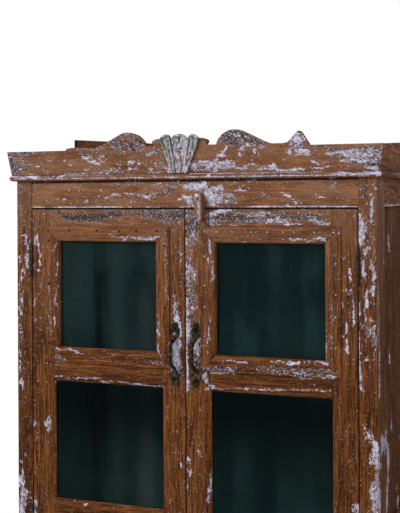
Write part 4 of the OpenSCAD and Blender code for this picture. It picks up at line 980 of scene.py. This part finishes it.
def shell():
    """The shell: three carved lobes in one skin, with its paint, dirt and painted shade as an attribute.
    """
    bm = bmesh.new()
    for lobe in LOBES:
        lobe_skin(bm, *lobe)
    piece = remeshed(linked("shell_carved", as_mesh(bm, "shell_carved"), SHELL), 0.9 * MM, 1)
    points = roughened(piece, [(9 * MM, 0.5 * MM), (3 * MM, 0.3 * MM)])
    mesh = piece.data
    lift = (points[:, 2] - CORNICE_Z) / MM
    reach = (points[:, 1] - FACE_Y) / MM - SHELL_BACK_Y
    up = lift * math.cos(SHELL_LEAN) - reach * math.sin(SHELL_LEAN)
    out = -lift * math.sin(SHELL_LEAN) - reach * math.cos(SHELL_LEAN)
    across = points[:, 0] / MM - SHELL_X
    offs, edges = [], []
    for foot_x, lean, top_w, height in LOBES:
        turn = math.radians(lean)
        own_up = up * math.cos(turn) + (across - foot_x) * math.sin(turn)
        own_x = (across - foot_x) * math.cos(turn) - up * math.sin(turn)
        half = (LOBE_FOOT_W + (top_w - LOBE_FOOT_W) * np.clip(own_up / height, 0, 1)) / 2
        offs.append(np.abs(own_x / half))
        edges.append(np.minimum(half - np.abs(own_x), height - own_up))
    nearest = np.argmin(np.array(offs), 0)
    edge = np.choose(nearest, edges)
    rim = np.clip(1.3 - np.abs(edge - 2.6) / 1.8, 0, 1) * np.choose(nearest, [0.25, 0.5, 0.5])
    rim *= np.clip((96 - up) / 30, 0.2, 1)
    mint = np.choose(nearest, [0.05, 0.85, 0.65]) * np.clip((edge - 2) / 3, 0, 1)
    mint *= np.clip(up / 70 + 0.1, 0, 1)
    mint *= np.clip((88 - up) / 16, 0.25, 1)
    red = cover(across * MM, up * MM + DOOR_TOP, SHELL_RED, 0)
    dirt = cover(across * MM, up * MM + DOOR_TOP, SHELL_DIRT, 0)
    # Darker at the lobes' edges and down in the flutes: dirt in the recesses and painted shade
    dirt += 0.7 * np.clip(1.3 - edge / 1.1, 0, 1) + 0.25 * np.clip((5.0 - out) / 3, 0, 1)
    # Darker towards the tops of the lobes
    dirt += 0.3 * np.clip((up - 76) / 12, 0, 1)
    # Painted shade on the lobes' right-facing walls, from halfway up
    facing = np.array([v.normal.x for v in mesh.vertices])
    painted_shade_right_walls = np.clip(facing * 2 - 0.5, 0, 1) * np.clip((1.6 - edge) / 0.8, 0, 1)
    dirt += painted_shade_right_walls * np.clip((up - 50) / 25, 0, 1)
    store(mesh, "shell", [mint, red, rim, dirt])
    stands_for(piece, "shell_ornament")


# A pull, in mm from its middle: half its length, its neck, plate and bow
PULL_HALF = 74
PULL_NECK_Z = 39
PLATE_R = 12
PLATE_T = 3
PLATE_BEVEL = 1.3
BOW_OUT = 26
BOW_RISE_TOP = 18
BOW_RISE_FOOT = 25
BOW_STEPS = 56
BOW_AROUND = 20
# How far the bow runs on over its plates, and how far out its ends are
BOW_RUN_ON = 7
BOW_END_OUT = 1.2
# Half sizes of the bow's section at its ends, and what its middle loses across and gains in depth
BOW_HALF_X = 5.6
BOW_HALF_T = 3.4
BOW_LOSS = 0.6
BOW_GAIN = 0.8


def plate_outline():
    """Points (x, z) of the upper plate of a pull, like a pear with its tip cut off."""
    lobe_z = PULL_NECK_Z + 0.9 * PLATE_R
    points = [(3.6, PULL_NECK_Z - 3), (4, PULL_NECK_Z)]
    for i in range(13):
        angle = math.radians(-58 + 78 * i / 12)
        points.append((PLATE_R * math.cos(angle), lobe_z + PLATE_R * math.sin(angle)))
    points += [(9.2, 60), (8.2, 65), (7.2, 70), (5.4, 73.2), (2.5, PULL_HALF)]
    return points + [(-x, z) for x, z in reversed(points)]


def pull(side):
    """A cast pull: a bow of uneven round section between two pear-shaped plates."""
    bm = bmesh.new()
    for end in (1, -1):
        outline = [(x * end, z * end) for x, z in plate_outline()]
        face = bm.faces.new([bm.verts.new((x, 0, z)) for x, z in outline])
        pushed = bmesh.ops.extrude_face_region(bm, geom=[face])["geom"]
        tops = [v for v in pushed if isinstance(v, bmesh.types.BMVert)]
        bmesh.ops.translate(bm, verts=tops, vec=(0, -PLATE_T, 0))
        rim = [e for e in bm.edges if all(v in tops for v in e.verts)]
        bmesh.ops.bevel(
            bm, geom=rim, offset=PLATE_BEVEL, segments=3, profile=0.5, affect="EDGES", clamp_overlap=True,
        )
    rings = []
    for i in range(BOW_STEPS + 1):
        run = 1 - 2 * i / BOW_STEPS
        z = run * (PULL_NECK_Z + BOW_RUN_ON)
        rise = BOW_RISE_TOP if z > 0 else BOW_RISE_FOOT
        t = min(1, max(0, (PULL_NECK_Z + 1 - abs(z)) / rise))
        ease = t * t * (3 - 2 * t)
        slope = 6 * t * (1 - t) / rise * BOW_OUT * (1 if z > 0 else -1)
        away = BOW_END_OUT + (BOW_OUT - BOW_END_OUT) * ease
        half_x = BOW_HALF_X - BOW_LOSS * ease
        half_t = BOW_HALF_T + BOW_GAIN * ease
        tilt = math.atan(slope)
        ring = []
        for k in range(BOW_AROUND):
            angle = 2 * math.pi * k / BOW_AROUND
            thick = half_t * math.sin(angle)
            y = -away - thick * math.cos(tilt)
            ring.append(bm.verts.new((half_x * math.cos(angle), min(y, 0), z + thick * math.sin(tilt))))
        rings.append(ring)
    for a, b in zip(rings, rings[1:]):
        for k in range(BOW_AROUND):
            bm.faces.new((a[k], a[(k + 1) % BOW_AROUND], b[(k + 1) % BOW_AROUND], b[k]))
    bm.faces.new(rings[0][::-1])
    bm.faces.new(rings[-1])
    bmesh.ops.recalc_face_normals(bm, faces=bm.faces)
    low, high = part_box("pull_" + side)
    middle = (low + high) / 2
    for v in bm.verts:
        v.co = (middle.x + v.co.x * MM, high.y + v.co.y * MM, middle.z + v.co.z * MM)
    name = "pull_cast_" + side
    piece = remeshed(linked(name, as_mesh(bm, name), IRON), 0.8 * MM, 2)
    roughened(piece, [(12 * MM, 0.3 * MM), (4 * MM, 0.25 * MM)])
    stands_for(piece, "pull_" + side)


# Length of the button's arm, how far its tip is drawn to the right, and how much its head broadens
BUTTON_ARM = 52 * MM
BUTTON_DRAW = 5 * MM
HEAD_BROADER = 0.22
HEAD_EASE = 5 * MM


def carve_button(piece):
    """Broadens the head of the turn button and draws its tip to the right."""
    low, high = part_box("button_nail")
    pivot_x, pivot_z = (low.x + high.x) / 2, (low.z + high.z) / 2
    for v in piece.data.vertices:
        along = min(1, max(0, (pivot_z - v.co.z) / BUTTON_ARM))
        broad = 1 + HEAD_BROADER * (1 - along) * min(1, abs(v.co.x - pivot_x) / HEAD_EASE)
        v.co.x = pivot_x + (v.co.x - pivot_x) * broad + BUTTON_DRAW * along


def carcass():
    """Posts, rails, panels, boards and the turn button."""
    for side in ("left", "right"):
        side_paint = POST_SIDE_PAINT if side == "right" else ()
        worn(
            "post_front_" + side, "z", paint=POST_PAINT, grey=POST_GREY, side_paint=side_paint,
            long=7 * MM, fine=2.7 * MM, deep=9 * MM, light=0.33 if side == "left" else 0.4,
        )
        worn("post_back_" + side, "z")
        worn("side_rails_" + side, "y", fine=3 * MM, side_lines=SIDE_RAIL_LINES)
        panel_paint = PANEL_SIDE_PAINT if side == "right" else ()
        worn(
            "side_panels_" + side, "z", DARK_WOOD["z"], base=0, side_paint=panel_paint, greyness=0,
            deep=14 * MM,
        )
    worn(
        "frieze_rail", "x", paint=FRIEZE_PAINT, grey=FRIEZE_GREY, shade=FRIEZE_SHADE, light=0.48,
        lines=along_arris("frieze_rail", FRIEZE_LINES), long=6 * MM, fine=2.2 * MM,
    )
    worn("front_bottom_rail", "x")
    worn("back_rails", "x", DARK_WOOD["x"])
    worn("top_board", "x", DARK_WOOD["x"])
    worn("crest_batten", "x", DARK_WOOD["x"], base=0.02, bevel=2.5 * MM, shade=BATTEN_SHADE, long=8 * MM)
    worn("back_boards", "z", INTERIOR, long=30 * MM, fine=20 * MM)
    for node in ("bottom_board", "shelf_lower", "shelf_middle", "shelf_upper"):
        worn(node, "x", INTERIOR, long=30 * MM, deep=25 * MM, bevel=1.5 * MM)
    button = worn(
        "turn_button", "z", paint=BUTTON_PAINT, dirt=BUTTON_DIRT, long=3 * MM, fine=2 * MM,
        deep=4 * MM, base=0.1,
    )
    carve_button(button)


def cornice():
    """The scrolled board, its returns along the sides and the bead under them."""
    worn(
        "cornice_front", "x", paint=CREST_PAINT, grey=CREST_GREY, dirt=CREST_DIRT, long=6 * MM,
        fine=2.3 * MM, base=0.09, greyness=0.08, wear=0.6 * MM, light=0.44,
    )
    worn("cornice_left", "y", greyness=0.12)
    worn("cornice_right", "y", base=0.1, greyness=0.12, fine=6 * MM)
    worn(
        "cornice_bead_front", "x", paint=BEAD_PAINT, lines=along_arris("cornice_bead_front", BEAD_LINES),
        long=6 * MM, fine=1.5 * MM, deep=2 * MM, bevel=0, light=0.38, greyness=0.14,
    )
    worn("cornice_bead_sides", "y", bevel=0, fine=3 * MM, deep=3 * MM, base=0.25)


# Dark rings round the nails of the strips: radius in mm and percent
NAIL_MARK = (3.5, 85)


def doors():
    """Both doors, with the lightness of each member as it is in the photograph."""
    looks = {
        "left": (LEFT_DOOR_PAINT, LEFT_DOOR_GREY, LEFT_DOOR_DIRT),
        "right": (RIGHT_DOOR_PAINT, RIGHT_DOOR_GREY, RIGHT_DOOR_DIRT),
    }
    for side, (paint, grey, dirt) in looks.items():
        marks = {
            "paint": paint, "grey": grey, "dirt": dirt, "shade": DOOR_SHADE, "light": 0.46,
            "base": 0.07, "bevel": 0.7 * MM, "long": 7 * MM, "fine": 2.6 * MM,
        }
        worn("hinge_stile_" + side, "z", **{**marks, "light": 0.42 if side == "left" else 0.365})
        worn("meeting_stile_" + side, "z", **{**marks, "light": 0.43})
        scribed = along_arris("door_top_rail_left", STRIP_LINES) if side == "left" else ()
        worn("door_top_rail_" + side, "x", lines=scribed, **marks)
        worn("door_mid_rails_" + side, "x", **{**marks, "light": 0.405 if side == "left" else 0.36})
        worn("door_bottom_rail_" + side, "x", paint=paint, bevel=0.7 * MM, light=0.365)
        marks["long"] = 4 * MM
        marks["shade"] = marks_at("strip_nails_" + side, *NAIL_MARK)
        worn("nailed_strips_" + side, "x", framed=True, **marks)
        worn("glazing_beads_" + side, "x", framed=True, **marks)


def dress_cad_nodes():
    """Gives the CAD nodes that stay their finish."""
    finishes = {
        "shelf_cleats": INTERIOR, "door_stops": INTERIOR,
        "hinge_leaves_fixed": STEEL, "hinge_pins": STEEL, "button_nail": BROWN_NAIL,
        "bolt_plates": STEEL, "bolt_rod_top": STEEL, "bolt_rod_bottom": STEEL,
    }
    for side in ("_left", "_right"):
        finishes["strip_nails" + side] = NAIL_PAINTED_LIGHT if side == "_right" else STEEL
        finishes["glass_panes" + side] = GLASS
        finishes["back_beads" + side] = INTERIOR
        finishes["pull_screws" + side] = SCREW
        finishes["hinge_leaves" + side] = STEEL
    for node, material in finishes.items():
        mesh = frame["nodes"][node].data
        mesh.materials.clear()
        mesh.materials.append(material)


FLOOR_REACH = 2.7
FLOOR_SIDES = 64


def studio():
    """Pale floor, white surroundings, soft lights and the camera."""
    floor_mesh = bpy.data.meshes.new("floor")
    angles = [2 * math.pi * i / FLOOR_SIDES for i in range(FLOOR_SIDES)]
    corners = [(FLOOR_REACH * math.cos(angle), FLOOR_REACH * math.sin(angle), 0) for angle in angles]
    floor_mesh.from_pydata(corners, [], [tuple(range(FLOOR_SIDES))])
    g = Graph("floor")
    grain = g.noise(g.object_place(), 3, 3)
    pale = g.ramp(grain, [(0.3, rgb(236, 236, 236)), (0.7, rgb(242, 242, 242))])
    linked("floor", floor_mesh, g.finish(pale, 0.9))

    world = bpy.data.worlds.new("studio")
    bpy.context.scene.world = world
    world.use_nodes = True
    tree = world.node_tree
    seen = tree.nodes["Background"]
    dim = tree.nodes.new("ShaderNodeBackground")
    mirrored = tree.nodes.new("ShaderNodeBackground")
    backgrounds = [
        (seen, (1, 1, 1, 1), 1.0), (dim, (1, 0.97, 0.93, 1), 0.5), (mirrored, (0.8, 0.92, 1, 1), 0.16),
    ]
    for background, colour, strength in backgrounds:
        background.inputs["Color"].default_value = colour
        background.inputs["Strength"].default_value = strength
    path = tree.nodes.new("ShaderNodeLightPath")

    def by_ray(kind, others, own):
        """One background for rays of a kind, and another for all others."""
        made = tree.nodes.new("ShaderNodeMixShader")
        tree.links.new(path.outputs[kind], made.inputs[0])
        tree.links.new(others.outputs[0], made.inputs[1])
        tree.links.new(own.outputs[0], made.inputs[2])
        return made

    both = by_ray("Is Camera Ray", by_ray("Is Glossy Ray", dim, mirrored), seen)
    tree.links.new(both.outputs[0], tree.nodes["World Output"].inputs[0])

    target = Vector((0, FACE_Y, DOOR_TOP - 0.25))
    lamps = [
        ("key", (-1.7, -3.0, 3.5), 1.5, 105, (1.0, 0.98, 0.95)),
        ("fill", (2.4, -2.8, 2.2), 2.2, 12, (1.0, 0.95, 0.88)),
        ("back", (0.8, 2.6, 2.8), 2.0, 40, (1, 1, 1)),
    ]
    for name, place, size, power, colour in lamps:
        lamp = bpy.data.lights.new(name, "AREA")
        lamp.size = size
        lamp.energy = power
        lamp.color = colour
        made = bpy.data.objects.new(name, lamp)
        made.location = place
        made.rotation_euler = (target - Vector(place)).to_track_quat("-Z", "Y").to_euler()
        bpy.context.scene.collection.objects.link(made)

    camera = bpy.data.cameras.new("camera")
    camera.sensor_width = SENSOR_MM
    camera.lens = FOCAL_PX * SENSOR_MM / max(PHOTO_SIZE)
    camera.shift_y = (HORIZON_PX - PHOTO_SIZE[1] / 2) / max(PHOTO_SIZE)
    camera.clip_start = 0.05
    made = bpy.data.objects.new("camera", camera)
    turn = Matrix.Rotation(CAMERA_TURN, 4, "Z") @ Matrix.Rotation(math.pi / 2, 4, "X")
    made.matrix_world = Matrix.Translation(CAMERA_PLACE) @ turn @ Matrix.Rotation(CAMERA_ROLL, 4, "Z")
    bpy.context.scene.collection.objects.link(made)
    bpy.context.scene.camera = made
    bpy.context.scene.view_settings.view_transform = "Standard"


studio()
carcass()
cornice()
shell()
doors()
pull("left")
pull("right")
dress_cad_nodes()
